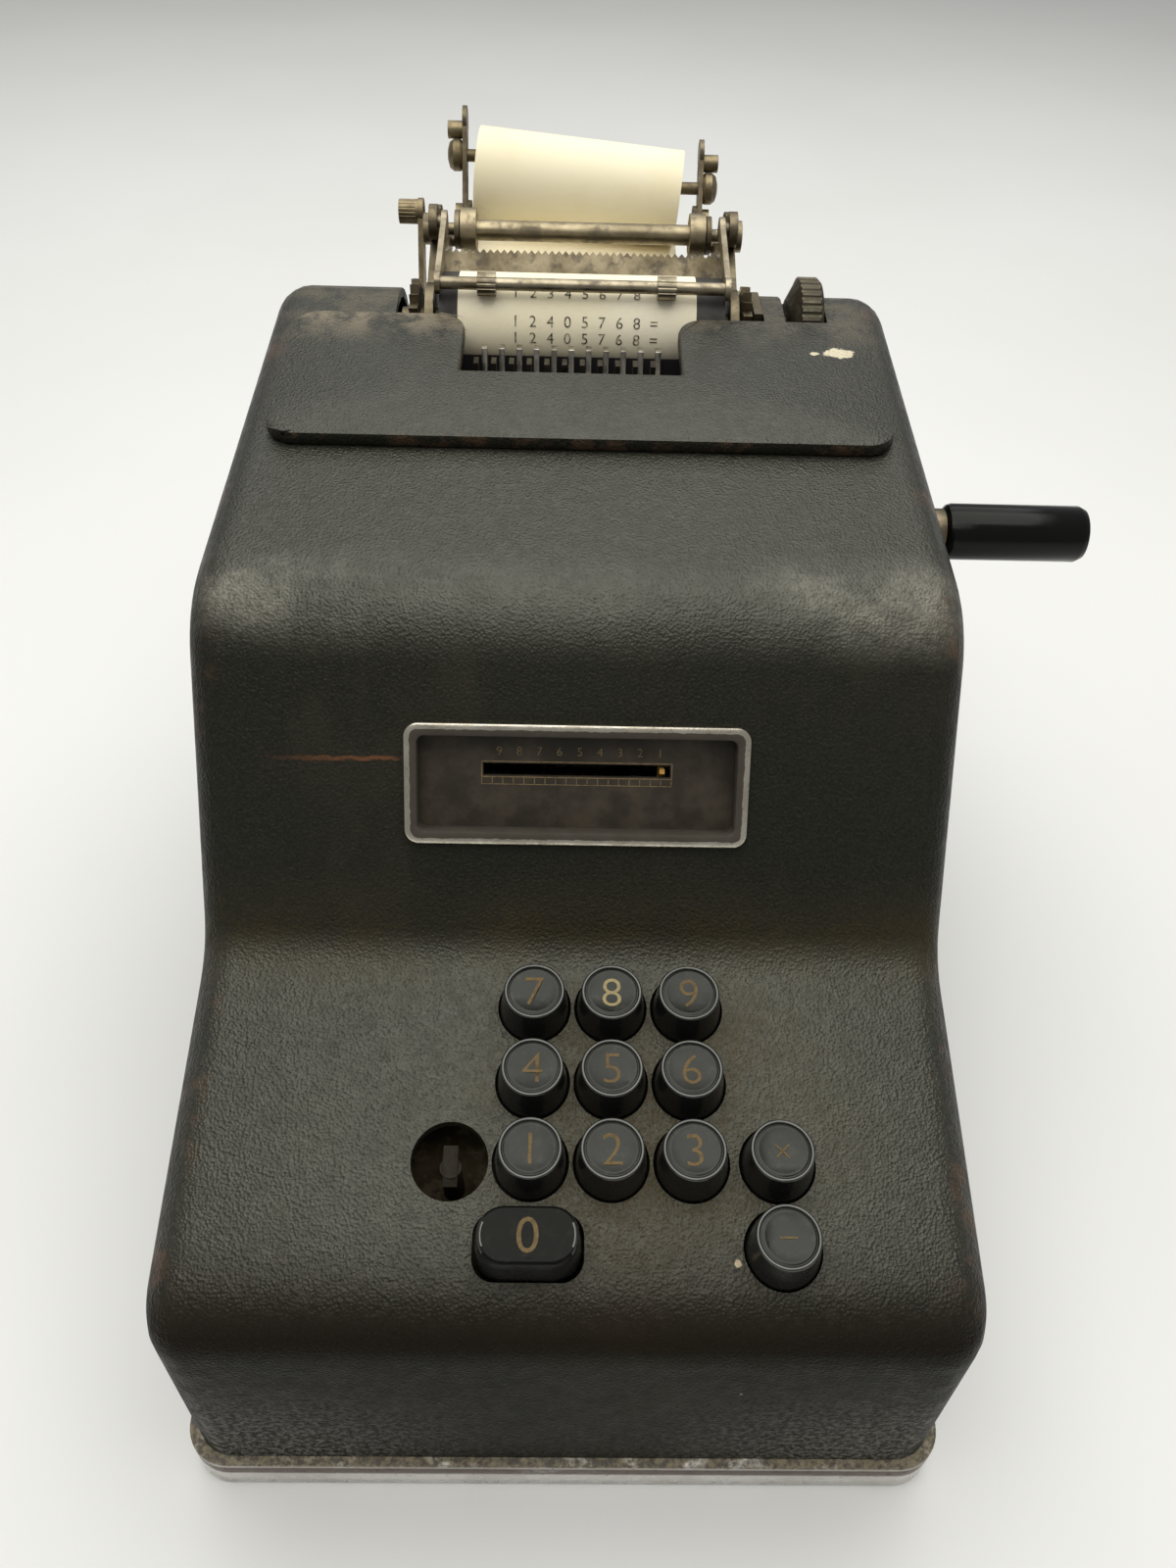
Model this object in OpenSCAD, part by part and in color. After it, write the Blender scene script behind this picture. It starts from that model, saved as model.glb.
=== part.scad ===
// Ten-key printing adding machine with a hand crank, sizes in mm.
// Drawn from the base's front edge (Y) and the base's top face (Z), then moved so that the
// origin is the centre of the flat underside. +Z is up and the keys face -Y.

/* [Base] */
// ledge of the base beside the housing
base_side = 2.5; // [1:0.5:5]
// ledge of the base in front of and behind the housing
base_ledge = 2; // [1:0.5:5]
// height of the base edge
base_h = 14; // [10:0.5:18]
// corner radius of the base in plan
base_r = 11; // [6:0.5:16]
// thickness of the tray floor
base_floor = 3; // [2:0.5:5]
// width of the rim that carries the housing
base_rim = 9; // [7:0.5:12]

/* [Housing] */
// width of the housing
housing_w = 185; // [168:1:205]
// depth of the housing
housing_d = 286; // [284:1:300]
// height of the front face where the keyboard plane meets it
front_h = 70; // [60:0.5:80]
// distance of the valley line from the base front
valley_y = 87; // [80:0.5:95]
// height of the valley line
valley_h = 93.8; // [85:0.2:100]
// distance of the brow line from the base front
brow_y = 130.3; // [124:0.1:138]
// height of the brow line
brow_h = 167.9; // [160:0.1:175]
// height of the deck at the rear
rear_h = 185; // [181:0.5:190]
// rounding of the front top edge
front_r = 17; // [12:0.5:22]
// rounding of the valley
valley_r = 15; // [8:0.5:25]
// rounding of the brow
brow_r = 30; // [20:0.5:40]
// rounding of the rear top edge
rear_r = 22; // [11:0.5:24]
// rounding of the long edges and upright corners
edge_r = 10; // [6:0.5:10.5]
// sheet thickness of the housing
wall = 2.5; // [1.5:0.1:3]
// left edge of the platen well
well_left = -55; // [-58:0.5:-53]
// right edge of the platen well
well_right = 54; // [53.8:0.1:56]
// depth of the rear notch of the well below the deck
well_drop = 47; // [46:1:60]
// diameter of the bosses that take the case screws
boss_d = 13; // [11:0.5:14]
// height of those bosses
boss_h = 14; // [10:1:20]

/* [Deck plate] */
// width of the deck plate
plate_w = 165; // [150:1:168]
// depth of the deck plate from front to rear
plate_d = 60.5; // [54:0.5:68]
// thickness of the deck plate
plate_t = 4; // [2:0.5:6]
// corner radius of the deck plate
plate_r = 8; // [3:0.5:12]
// width of the notch at its bottom
notch_w = 61; // [58:1:66]
// depth of the notch
notch_d = 29.5; // [24:0.5:31]
// radius of the convex notch shoulders
notch_r = 8; // [3:0.5:10]

/* [Window] */
// distance of the window centre from the base front
win_y = 108.5; // [106:0.1:110]
// width of the bezel
win_w = 82; // [70:1:90]
// height of the bezel
win_h = 29.5; // [24:0.5:34]
// corner radius of the bezel
win_r = 3.5; // [2:0.25:5]
// width of the bezel bead
win_bead = 2.2; // [1.6:0.1:3]
// height of the bead above the panel
win_rise = 1.8; // [1:0.1:3]
// depth of the bezel neck below the panel
win_depth = 4; // [3:0.25:6]
// length of the pointer slot
slot_l = 45; // [43:0.5:50]
// height of the pointer slot
slot_h = 3; // [2:0.1:4]
// height of the slot above the window centre
slot_up = 2.6; // [0:0.1:5]

/* [Keys] */
// spacing of the keys
key_pitch = 18.2; // [17.8:0.1:19]
// middle of the first number column
key_x = -9.2; // [-12:0.1:-6]
// distance of the zero row from the base front
key_y = 20.7; // [19:0.1:23]
// extra step to the function column
function_step = 1.2; // [0:0.1:3]
// diameter of a key top
key_top_d = 14; // [12:0.1:15]
// diameter of a key at the panel
key_base_d = 16.6; // [15:0.1:16.9]
// height of a key above the panel
key_rise = 8.7; // [7:0.1:11]
// depth of a cap below the panel
key_sink = 5; // [3:0.5:7]
// lean of the key axis towards the front
key_lean = 8; // [0:0.5:15]
// diameter of the key holes
key_hole_d = 17.5; // [17.2:0.1:17.9]
// depth of the dished key top
key_dish = 0.9; // [0.3:0.1:1.5]
// extra width of the zero key
zero_extra = 7; // [4:0.5:8]
// diameter of a key stem
stem_d = 5; // [4:0.1:6]
// depth of the upper key guide below the panel
guide_up = 20; // [17:0.5:24]
// depth of the lower key guide below the panel
guide_low = 42; // [36:0.5:46]
// thickness of the key guides
guide_t = 2; // [1.5:0.1:3]

/* [Frames] */
// distance from the housing's side to the side frames
frame_set = 14.5; // [12.5:0.5:16]
// thickness of the side frames
frame_t = 3; // [2:0.5:4]
// radius of the tie rods and carriage rails
rod_r = 3; // [2.5:0.1:4]
// clearance all round a running shaft
run_gap = 0.06; // [0.03:0.01:0.1]
// clearance all round a fixed pin
fix_gap = 0.02; // [0.01:0.005:0.03]

/* [Crank] */
// distance from the crank shaft to the type heads
crank_ahead = 42; // [34:1:52]
// height of the crank shaft
crank_z = 62; // [56:1:70]
// radius of the crank shaft
crank_r = 6; // [5:0.25:7]
// length of the crank arm
arm_l = 80; // [60:1:90]
// gap from the housing's side to the crank arm
arm_gap = 3.5; // [3:0.5:7]
// thickness of the crank arm
arm_t = 5; // [3:0.5:7]
// diameter of the crank grip
grip_d = 16; // [12:0.5:20]
// length of the crank grip
grip_l = 41; // [34:0.5:50]
// rise of the cam for each degree
cam_rise = 0.12; // [0.08:0.01:0.13]

/* [Type bars] */
// number of type bars
type_n = 11; // [9:1:11]
// spacing of the type bars
type_pitch = 5.08; // [4.8:0.02:5.3]
// middle of the type bars
type_x = -3; // [-5:0.1:0]
// gap from the type heads to the platen
type_gap = 3; // [2.8:0.1:5]
// depth of the type heads' top below the deck's rear height
type_drop = 9; // [7:0.5:13]
// thickness of a type bar
type_t = 1.6; // [1.2:0.1:2]

/* [Platen] */
// distance of the platen axis from the rear face
platen_in = 24; // [22:0.5:26]
// depth of the platen axis below the deck's rear height
platen_drop = 10; // [7:0.5:14]
// radius of the platen
platen_r = 14; // [12:0.1:14.4]
// half length of the platen
platen_half = 42; // [40:0.5:42.5]
// radius of the platen shaft
shaft_r = 4; // [3:0.25:5]
// inner face of the carriage plates
side_x = 44; // [43.5:0.1:44.5]
// thickness of the carriage plates
side_t = 2.5; // [2:0.1:2.8]
// radius of the ratchet wheels
ratchet_r = 12; // [10:0.5:13]
// number of ratchet teeth
ratchet_n = 18; // [12:1:24]
// thickness of the ratchet wheels
ratchet_t = 2.6; // [2:0.1:3]
// radius of the platen knob
knob_r = 15; // [13:0.5:17]
// inner face of the platen knob
knob_x = 61.7; // [61.5:0.1:62.5]
// thickness of the platen knob
knob_t = 9.5; // [8:0.5:11.5]
// radius of the feed roller
feed_r = 5; // [4:0.25:5.5]

/* [Paper] */
// width of the paper
paper_w = 70; // [60:0.5:71]
// middle of the paper
paper_x = -1.5; // [-2:0.1:0]
// thickness of the paper as drawn
paper_t = 0.2; // [0.15:0.05:0.3]
// radius of the paper roll
roll_r = 15; // [12:0.5:17]
// radius of the hole in the roll
roll_core = 8.2; // [8:0.1:9.5]
// distance of the right roll pivot behind the platen axis
roll_behind = 84.9; // [82:0.1:88]
// height of the right roll pivot above the platen axis
roll_up = 12.5; // [11:0.1:15]
// how much further the left extension is slid out
roll_slide = 8.6; // [0:0.1:9]
// how far the left end of the roll hangs below its pivot
sag_left = 5.6; // [0:0.1:5.6]
// how far the right end of the roll hangs below its pivot
sag_right = 3.6; // [0:0.1:5.6]

/* [Bail] */
// radius of the bail rollers
bail_roller_r = 3.5; // [3:0.1:4]
// radius of the bail rod
bail_r = 1.8; // [1.4:0.1:2.2]
// direction of the bail rod from the platen axis
bail_dir = 121; // [115:1:126]
// distance of the bail pivot behind the platen axis
bail_behind = 20; // [18:0.5:23]
// height of the bail pivot above the platen axis
bail_up = 22; // [21:0.5:25]

/* [Hidden] */
$fn = 64;
gap = 0.3;
seat = 0.02;
base_d = housing_d + 2 * base_ledge;
base_w = housing_w + 2 * base_side;
rear_y = base_ledge + housing_d;
key_slope = atan2(valley_h - front_h, valley_y - base_ledge);
win_slope = atan2(brow_h - valley_h, brow_y - valley_y);
deck_slope = atan2(rear_h - brow_h, rear_y - brow_y);
win_z = valley_h + (win_y - valley_y) * tan(win_slope);
platen_y = rear_y - platen_in;
platen_z = rear_h - platen_drop;
type_y = platen_y - platen_r - type_gap;
type_top = rear_h - type_drop;
plate_rear = type_y + 1.5;
plate_front = plate_rear - plate_d;
well_floor = rear_h - well_drop;
crank_y = type_y - crank_ahead;
arm_x = housing_w / 2 + arm_gap;
roll_y = platen_y + roll_behind;
roll_z = platen_z + roll_up;
bail_pivot_y = platen_y + bail_behind;
bail_pivot_z = platen_z + bail_up;
paper_r = platen_r + 0.1;
bail_d = paper_r + paper_t + gap + bail_roller_r;
bail_y = platen_y + bail_d * cos(bail_dir);
bail_z = platen_z + bail_d * sin(bail_dir);
feed_d = paper_r + paper_t + gap + feed_r;
feed_dir = -105;
feed_y = platen_y + feed_d * cos(feed_dir);
feed_z = platen_z + feed_d * sin(feed_dir);
release_y = platen_y + 20;
release_z = platen_z - 18;
tube_y = platen_y + 31;
tube_z = platen_z + 16;
tube_r = 3;
lever_x = side_x + side_t + 3.6;
slide_dir = 60;
roll_left = [roll_y + roll_slide * cos(slide_dir), roll_z + roll_slide * sin(slide_dir)];
roll_right = [roll_y, roll_z];
roll_half = paper_w / 2 + 2;
clamp_y = roll_y - 10 * cos(slide_dir);
clamp_z = roll_z - 10 * sin(slide_dir);
hang_left = roll_left - [0, sag_left];
hang_right = roll_right - [0, sag_right];
roll_axis = [2 * roll_half, hang_right[0] - hang_left[0], hang_right[1] - hang_left[1]];
roll_mid = [paper_x, (hang_left[0] + hang_right[0]) / 2, (hang_left[1] + hang_right[1]) / 2];
roll_turn_y = atan2(-roll_axis[2], norm([roll_axis[0], roll_axis[1]]));
roll_turn_z = atan2(roll_axis[1], roll_axis[0]);
tray_z = base_floor - base_h;
frame_x = housing_w / 2 - frame_set;
frame_in = frame_x - frame_t;
rail_y = [118, 140];
rail_z = 28;
register_y = crank_y - 33;
register_z = 104;
spool_x = frame_in - 15;
spool_y = type_y - 23;
bridge_z = deck_z(spool_y) - 30;
bed_z = bridge_z - 10;
bed_t = 4;
lift_z = 98;
follow_r = 4;
follow_z = crank_z + 18;
cam_x = 48;
cam_t = 5;
guide_rods = [type_x - 35, type_x + 36];
spring_pin_l = 24;
spring_pin_r = 2;
well_front = spool_y - 18;
spool_r = 12;
ribbon_z = bridge_z + 11;
ribbon_h = 13;
ribbon_y = type_y + 1;
pointer_x = slot_l / 2 - 2;
screw_r = 2;
screw_x = housing_w / 2 - edge_r + 2;
screw_y = [base_ledge + edge_r - 2, rear_y - edge_r + 2];

// key name, column, row
KEYS = [
    ["key_0", 0, 0], ["key_1", 0, 1], ["key_2", 1, 1], ["key_3", 2, 1],
    ["key_4", 0, 2], ["key_5", 1, 2], ["key_6", 2, 2],
    ["key_7", 0, 3], ["key_8", 1, 3], ["key_9", 2, 3],
    ["key_repeat", 3, 1], ["key_subtract", 3, 0], ["key_bare_stem", -1, 1]
];

// direction of an angle in a plane
function dir(a) = [cos(a), sin(a)];
// height of the keyboard plane
function panel_z(y) = front_h + (y - base_ledge) * tan(key_slope);
// height of the deck plane
function deck_z(y) = brow_h + (y - brow_y) * tan(deck_slope);
// middle of a key on the keyboard plane
function key_at(k) = [
    key_x + k[1] * key_pitch + (k[1] > 2 ? function_step : 0),
    key_y + k[2] * key_pitch * cos(key_slope),
    panel_z(key_y + k[2] * key_pitch * cos(key_slope))
];

// a plane shape in Y and Z, given thickness from x0 to x1
module slab(x0, x1) {
    translate([x0, 0, 0]) rotate([90, 0, 90]) linear_extrude(height = x1 - x0) children();
}

// a round along X
module round_x(x0, x1, y, z, r) {
    translate([x0, y, z]) rotate([0, 90, 0]) cylinder(r = r, h = x1 - x0);
}

// a bar with an eye at each end
module link(p, rp, q, rq) {
    a = atan2(q[1] - p[1], q[0] - p[0]);
    s = 0.8 * dir(a + 90);
    translate(p) circle(r = rp);
    translate(q) circle(r = rq);
    polygon([p + rp * s, q + rq * s, q - rq * s, p - rp * s]);
}

// a rectangle with round corners about its middle
module soft_square(w, h, r) {
    square([w - 2 * r, h], center = true);
    square([w, h - 2 * r], center = true);
    for (x = [-1, 1], y = [-1, 1]) translate([x * (w / 2 - r), y * (h / 2 - r)]) circle(r = r);
}

module in_window() {
    translate([0, win_y, win_z]) rotate([win_slope, 0, 0]) children();
}

module in_key(k) {
    translate(key_at(k)) rotate([key_lean, 0, 0]) children();
}

module in_panel() {
    translate([0, base_ledge, front_h]) rotate([key_slope, 0, 0]) children();
}

module in_deck() {
    translate([0, plate_front, deck_z(plate_front)]) rotate([deck_slope, 0, 0]) children();
}

// Housing stations: a point of the profile and its outward direction, from the front foot
// over the top to the rear foot.
corners = [
    [base_ledge, 0], [base_ledge, front_h], [valley_y, valley_h],
    [brow_y, brow_h], [rear_y, rear_h], [rear_y, 0]
];
corner_r = [0, front_r, valley_r, brow_r, rear_r, 0];
corner_n = [0, 8, 6, 8, 7, 0];
function heading(i) = atan2(
    corners[i + 1][1] - corners[i][1], corners[i + 1][0] - corners[i][0]);
function turn(i) = heading(i) - heading(i - 1);
function side(i) = turn(i) < 0 ? 1 : -1;
function arc_mid(i) = corners[i]
    - corner_r[i] * tan(abs(turn(i)) / 2) * dir(heading(i - 1))
    - side(i) * corner_r[i] * dir(heading(i - 1) + 90);
stations = concat(
    [[corners[0], [-1, 0]], [[base_ledge, 2 * boss_h], [-1, 0]]],
    [for (i = [1:4], k = [0:corner_n[i]])
        let (n = dir(heading(i - 1) + turn(i) * k / corner_n[i] + 90))
        [arc_mid(i) + side(i) * corner_r[i] * n, n]],
    [[[rear_y, 2 * boss_h], [1, 0]], [corners[5], [1, 0]]]
);
edge_n = 6;
last_s = len(stations) - 1;
last_e = 2 * edge_n + 1;
// place and inset of each lengthwise line of the skin, t inside the outer face
function skin_line(j, t) =
    let (a = 90 * (j <= edge_n ? j : last_e - j) / edge_n, r = edge_r - t)
    [(j <= edge_n ? -1 : 1) * (housing_w / 2 - edge_r + r * cos(a)), t + r * (1 - sin(a))];
function skin(t) = [for (j = [0:last_e], s = stations)
    let (l = skin_line(j, t)) [l[0], s[0][0] - l[1] * s[1][0], s[0][1] - l[1] * s[1][1]]];
function at(j, i) = j * (last_s + 1) + i;
function foot() = concat([for (j = [0:last_e]) at(j, 0)], [for (j = [last_e:-1:0]) at(j, last_s)]);

// side face: a plain strip at the foot and a fan from the rear end of its top line, which sees every
// station past the hollow of the valley, on the points from n up
function flip(list) = [for (i = [len(list) - 1:-1:0]) list[i]];
function cheek(j, n, back) = let (
    strip = [[for (i = [0, 1, last_s - 1, last_s]) n + at(j, i)]],
    fan = [for (i = [1:last_s - 3]) [n + at(j, last_s - 1), n + at(j, i), n + at(j, i + 1)]]
) [for (f = concat(strip, fan)) back ? flip(f) : f];

module housing_skin() {
    count = (last_e + 1) * (last_s + 1);
    ring = foot();
    m = len(ring);
    faces = concat(
        [for (j = [0:last_e - 1], i = [0:last_s - 1])
            [at(j, i), at(j, i + 1), at(j + 1, i + 1), at(j + 1, i)]],
        cheek(0, 0, true),
        cheek(last_e, 0, false),
        [for (j = [0:last_e - 1], i = [0:last_s - 1])
            [count + at(j, i), count + at(j + 1, i), count + at(j + 1, i + 1), count + at(j, i + 1)]],
        cheek(0, count, false),
        cheek(last_e, count, true),
        [for (k = [0:m - 1])
            [ring[k], ring[(k + 1) % m], count + ring[(k + 1) % m], count + ring[k]]]
    );
    polyhedron(points = concat(skin(0), skin(wall)), faces = faces, convexity = 8);
}

module housing() {
    color("dimgray") difference() {
        union() {
            housing_skin();
            for (x = [-1, 1], y = screw_y) translate([x * screw_x, y, 0]) cylinder(d = boss_d, h = boss_h);
        }
        for (k = KEYS) in_key(k) key_hole(k);
        in_window() translate([0, 0, -8]) linear_extrude(height = 16)
            soft_square(win_w - 2 * win_bead + 1, win_h - 2 * win_bead + 1, win_r - 0.5);
        translate([well_left, well_front, well_floor]) cube([well_right - well_left, 200, 100]);
        translate([knob_x - 1.5, platen_y - knob_r - 3, platen_z - 4])
            cube([knob_t + 3, 2 * knob_r + 6, 40]);
        round_x(housing_w / 2 - 6, housing_w / 2 + 6, crank_y, crank_z, crank_r + 1.5);
        for (x = [-1, 1], y = screw_y) translate([x * screw_x, y, -1])
            cylinder(r = screw_r + fix_gap, h = boss_h - 2);
    }
}

module key_hole(k) {
    translate([0, 0, -7]) linear_extrude(height = 14) {
        if (k[0] == "key_0") soft_square(key_base_d + zero_extra + 0.9, key_hole_d - 3, 5);
        else circle(d = key_hole_d);
    }
}

module base_outline(in) {
    translate([0, base_d / 2]) soft_square(base_w - 2 * in, base_d - 2 * in, base_r - in);
}

module base_tray() {
    color("silver") difference() {
        union() {
            translate([0, 0, -base_h]) linear_extrude(height = base_floor) base_outline(0);
            translate([0, 0, -base_h]) linear_extrude(height = base_h - seat) difference() {
                base_outline(0);
                base_outline(base_rim);
            }
            for (x = [-1, 1], y = screw_y) translate([x * screw_x, y, -base_h])
                cylinder(d = boss_d, h = base_h - seat);
        }
        for (x = [-1, 1], y = screw_y) translate([x * screw_x, y, -base_h - 1]) {
            cylinder(r = screw_r + fix_gap, h = base_h + 2);
            cylinder(r = 2 * screw_r + 0.2, h = 4.2);
        }
    }
}

module case_screws() {
    color("silver") for (x = [-1, 1], y = screw_y) translate([x * screw_x, y, -base_h]) {
        translate([0, 0, 0.7]) difference() {
            cylinder(r = 2 * screw_r, h = 2.5);
            translate([0, 0, 0]) cube([8, 0.9, 2], center = true);
        }
        translate([0, 0, 3]) cylinder(r = screw_r, h = base_h + boss_h - 8);
    }
}

module deck_plate() {
    d = (plate_rear - plate_front) / cos(deck_slope);
    color("dimgray") in_deck() translate([0, 0, seat]) linear_extrude(height = plate_t) difference() {
        translate([0, d / 2]) soft_square(plate_w, d, plate_r);
        translate([type_x, d]) {
            square([notch_w, 2 * notch_d], center = true);
            for (s = [-1, 1]) difference() {
                translate([s * (notch_w / 2 + notch_r / 2 - 0.5), 0])
                    square([notch_r + 1, 2 * notch_r], center = true);
                translate([s * (notch_w / 2 + notch_r), -notch_r]) circle(r = notch_r);
            }
        }
    }
}

module window_bezel() {
    w = win_w - 2 * win_bead;
    h = win_h - 2 * win_bead;
    color("silver") in_window() difference() {
        union() {
            translate([0, 0, seat]) linear_extrude(height = win_rise) soft_square(win_w, win_h, win_r);
            translate([0, 0, -win_depth]) linear_extrude(height = win_depth + 1)
                soft_square(w + 0.4, h + 0.4, win_r - 0.8);
        }
        translate([0, 0, -win_depth - 1]) linear_extrude(height = win_depth + win_rise + 3)
            soft_square(w - 2, h - 2, win_r - 1.7);
    }
}

module window_plate() {
    w = win_w - 2 * win_bead;
    h = win_h - 2 * win_bead;
    color("black") in_window() translate([0, 0, -win_depth - 1 - seat])
        linear_extrude(height = 1) difference() {
            square([w + 0.4, h + 0.4], center = true);
            translate([0, slot_up]) square([slot_l, slot_h], center = true);
        }
}

// outline of a cap for turning, with a dished top
module cap_round() {
    difference() {
        rotate_extrude() polygon([
            [0, -key_sink], [key_base_d / 2, -key_sink], [key_base_d / 2, 0],
            [key_top_d / 2, key_rise - 0.7], [key_top_d / 2 - 0.6, key_rise], [0, key_rise]
        ]);
        dish_r = (pow(key_top_d / 2 - 1, 2) + key_dish * key_dish) / (2 * key_dish);
        translate([0, 0, key_rise - key_dish + dish_r]) sphere(r = dish_r, $fn = 128);
        translate([0, 0, -key_sink - 1]) cylinder(d = stem_d + 2 * fix_gap, h = key_sink - 1);
    }
}

module cap_zero() {
    w = key_base_d + zero_extra;
    h = key_hole_d - 4;
    difference() {
        union() {
            translate([0, 0, -key_sink]) linear_extrude(height = key_sink) soft_square(w, h, 4.6);
            linear_extrude(height = key_rise - 0.7) soft_square(w - 1.2, h - 0.6, 4.3);
            linear_extrude(height = key_rise) soft_square(w - 2.2, h - 1.6, 3.8);
        }
        translate([0, 0, key_rise + 39.4]) sphere(r = 40, $fn = 128);
        translate([0, 0, -key_sink - 1]) cylinder(d = stem_d + 2 * fix_gap, h = key_sink - 1);
    }
}

module stem(top) {
    color("silver") translate([0, 0, -guide_low - 5]) cylinder(d = stem_d, h = top + guide_low + 5);
}

module key(k) {
    in_key(k) {
        if (k[0] == "key_bare_stem") {
            color("silver") union() {
                stem(-4);
                translate([0, 0, -4.5]) rotate([24, 0, 0]) translate([-1.7, -4, 0]) cube([3.4, 9, 1.2]);
            }
        } else {
            color("black") if (k[0] == "key_0") cap_zero(); else cap_round();
            stem(-2.3);
        }
    }
}

module key_guides() {
    long = (valley_y - base_ledge) / cos(key_slope) - 16;
    color("gray") for (d = [guide_up, guide_low]) difference() {
        in_panel() translate([-frame_in + seat, 14, -d])
            cube([2 * frame_in - 2 * seat, long, guide_t]);
        for (k = KEYS) in_key(k) translate([0, 0, -guide_low - 8])
            cylinder(d = stem_d + 2 * run_gap, h = guide_low + 6);
    }
}

module key_springs() {
    wide = 5 * key_pitch;
    first = (key_y - base_ledge) / cos(key_slope);
    color("silver") for (r = [0:3]) in_panel() translate([0, first + r * key_pitch, -guide_low]) {
        translate([key_x - 1.3 * key_pitch, 2, -5.9]) cube([wide, 3, 5.9 - seat]);
        for (k = KEYS) if (k[2] == r) translate([key_at(k)[0] - 1.5, -8, -5.9])
            cube([3, 11, 0.5]);
    }
}

module frame_shape() {
    difference() {
        polygon([
            [16, tray_z + seat], [rear_y - 13, tray_z + seat], [rear_y - 13, bridge_z + 4],
            [brow_y + 20, bridge_z - 4], [brow_y - 6, bridge_z - 30], [valley_y + 10, valley_h - 26],
            [valley_y - 8, valley_h - 16], [16, front_h - 14]
        ]);
        translate([crank_y, crank_z]) circle(r = crank_r + run_gap);
        translate([register_y, register_z]) circle(r = rod_r + fix_gap);
        for (p = rod_places()) translate(p) circle(r = rod_r + fix_gap);
        translate([crank_y - 40, 30]) circle(r = 18);
        translate([crank_y + 40, 40]) circle(r = 22);
    }
}

function rod_places() = [[24, 4], [rear_y - 24, 4], [rail_y[0], rail_z], [rail_y[1], rail_z]];

module frame_left() {
    color("gray") slab(-frame_x, -frame_in) frame_shape();
}

module frame_right() {
    color("gray") slab(frame_in, frame_x) frame_shape();
}

module frame_rods() {
    color("silver") for (p = rod_places()) round_x(-frame_x - 2, frame_x + 2, p[0], p[1], rod_r);
}

module pin_carriage() {
    color("gray") difference() {
        translate([pointer_x - 30, rail_y[0] - 8, rail_z - 7]) cube([60, rail_y[1] - rail_y[0] + 16, 20]);
        for (y = rail_y) round_x(pointer_x - 31, pointer_x + 31, y, rail_z, rod_r + run_gap);
        for (i = [0:8]) translate([pointer_x - 26.5 + i * 6, rail_y[0] + 5, rail_z + 5]) cube([4, 12, 9]);
    }
}

module column_pointer() {
    foot_p = [rail_y[0] + 1, rail_z + 13 + seat + 4];
    root = [win_y + slot_up * cos(win_slope), win_z + slot_up * sin(win_slope)];
    out = dir(win_slope + 90);
    top_p = root - 9 * out;
    tip = root - (win_depth - 0.4) * out;
    up = dir(win_slope);
    color("orange") slab(pointer_x - 0.6, pointer_x + 0.6) polygon([
        foot_p + [4, -4], foot_p + [4, 2], top_p + [2, 1.5], top_p + 0.9 * up, tip + 0.5 * up,
        tip - 0.5 * up, top_p - 0.9 * up, top_p + [-0.4, -3], foot_p + [-4, 2], foot_p + [-4, -4]
    ]);
}

module register_shaft() {
    color("silver") round_x(-frame_x - 2, frame_x + 2, register_y, register_z, rod_r);
}

module register_wheels() {
    color("goldenrod") for (i = [0:type_n - 2]) slab(
        type_x + (i - (type_n - 1) / 2) * type_pitch + 1.2,
        type_x + (i - (type_n - 1) / 2) * type_pitch + 3.8
    ) translate([register_y, register_z]) difference() {
        polygon([for (k = [0:19], s = [0:3])
            (s == 0 || s == 3 ? 7.6 : 9.4) * dir(18 * k + [0, 4, 9, 13][s])]);
        circle(r = rod_r + run_gap);
    }
}

module crank_shaft() {
    color("silver") round_x(-frame_x - 2, arm_x + arm_t + 3, crank_y, crank_z, crank_r);
}

// line of the follower's middle and its outward direction, at a turn of the cam
function cam_mid(a) = (follow_z - crank_z + cam_rise * a) * dir(90 - a);
function cam_out(a) = let (d = cam_mid(a + 0.01) - cam_mid(a - 0.01)) [-d[1], d[0]] / norm(d);

module crank_cam() {
    color("gray") slab(cam_x, cam_x + cam_t) difference() {
        union() {
            translate([crank_y, crank_z]) {
                circle(r = crank_r + 5);
                polygon(concat(
                    [for (a = [-14:2:84]) cam_mid(a) - (follow_r + gap) * cam_out(a)],
                    [[0, 0]]
                ));
            }
            link([crank_y, crank_z], crank_r + 4, [crank_y, crank_z - spring_pin_l], 5);
        }
        translate([crank_y, crank_z]) circle(r = crank_r + fix_gap);
    }
    color("gray")
        round_x(cam_x + cam_t - 0.5, cam_x + cam_t + 10, crank_y, crank_z - spring_pin_l, spring_pin_r);
}

module crank_arm() {
    color("silver") difference() {
        union() {
            slab(arm_x, arm_x + arm_t) link([crank_y, crank_z], 11, [crank_y, crank_z + arm_l], 8);
            round_x(arm_x - 2.5, arm_x + arm_t + 2, crank_y, crank_z, 10);
        }
        round_x(arm_x - 5, arm_x + arm_t + 5, crank_y, crank_z, crank_r + fix_gap);
        round_x(arm_x - 5, arm_x + arm_t + 5, crank_y, crank_z + arm_l, 3 + fix_gap);
    }
}

module crank_spindle() {
    y = crank_y;
    z = crank_z + arm_l;
    color("silver") union() {
        round_x(arm_x, arm_x + arm_t + 1, y, z, 3);
        round_x(arm_x + arm_t + seat, arm_x + arm_t + 4, y, z, 6.5);
        round_x(arm_x + arm_t + 3, arm_x + arm_t + grip_l - 2, y, z, 3.2);
    }
}

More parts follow.
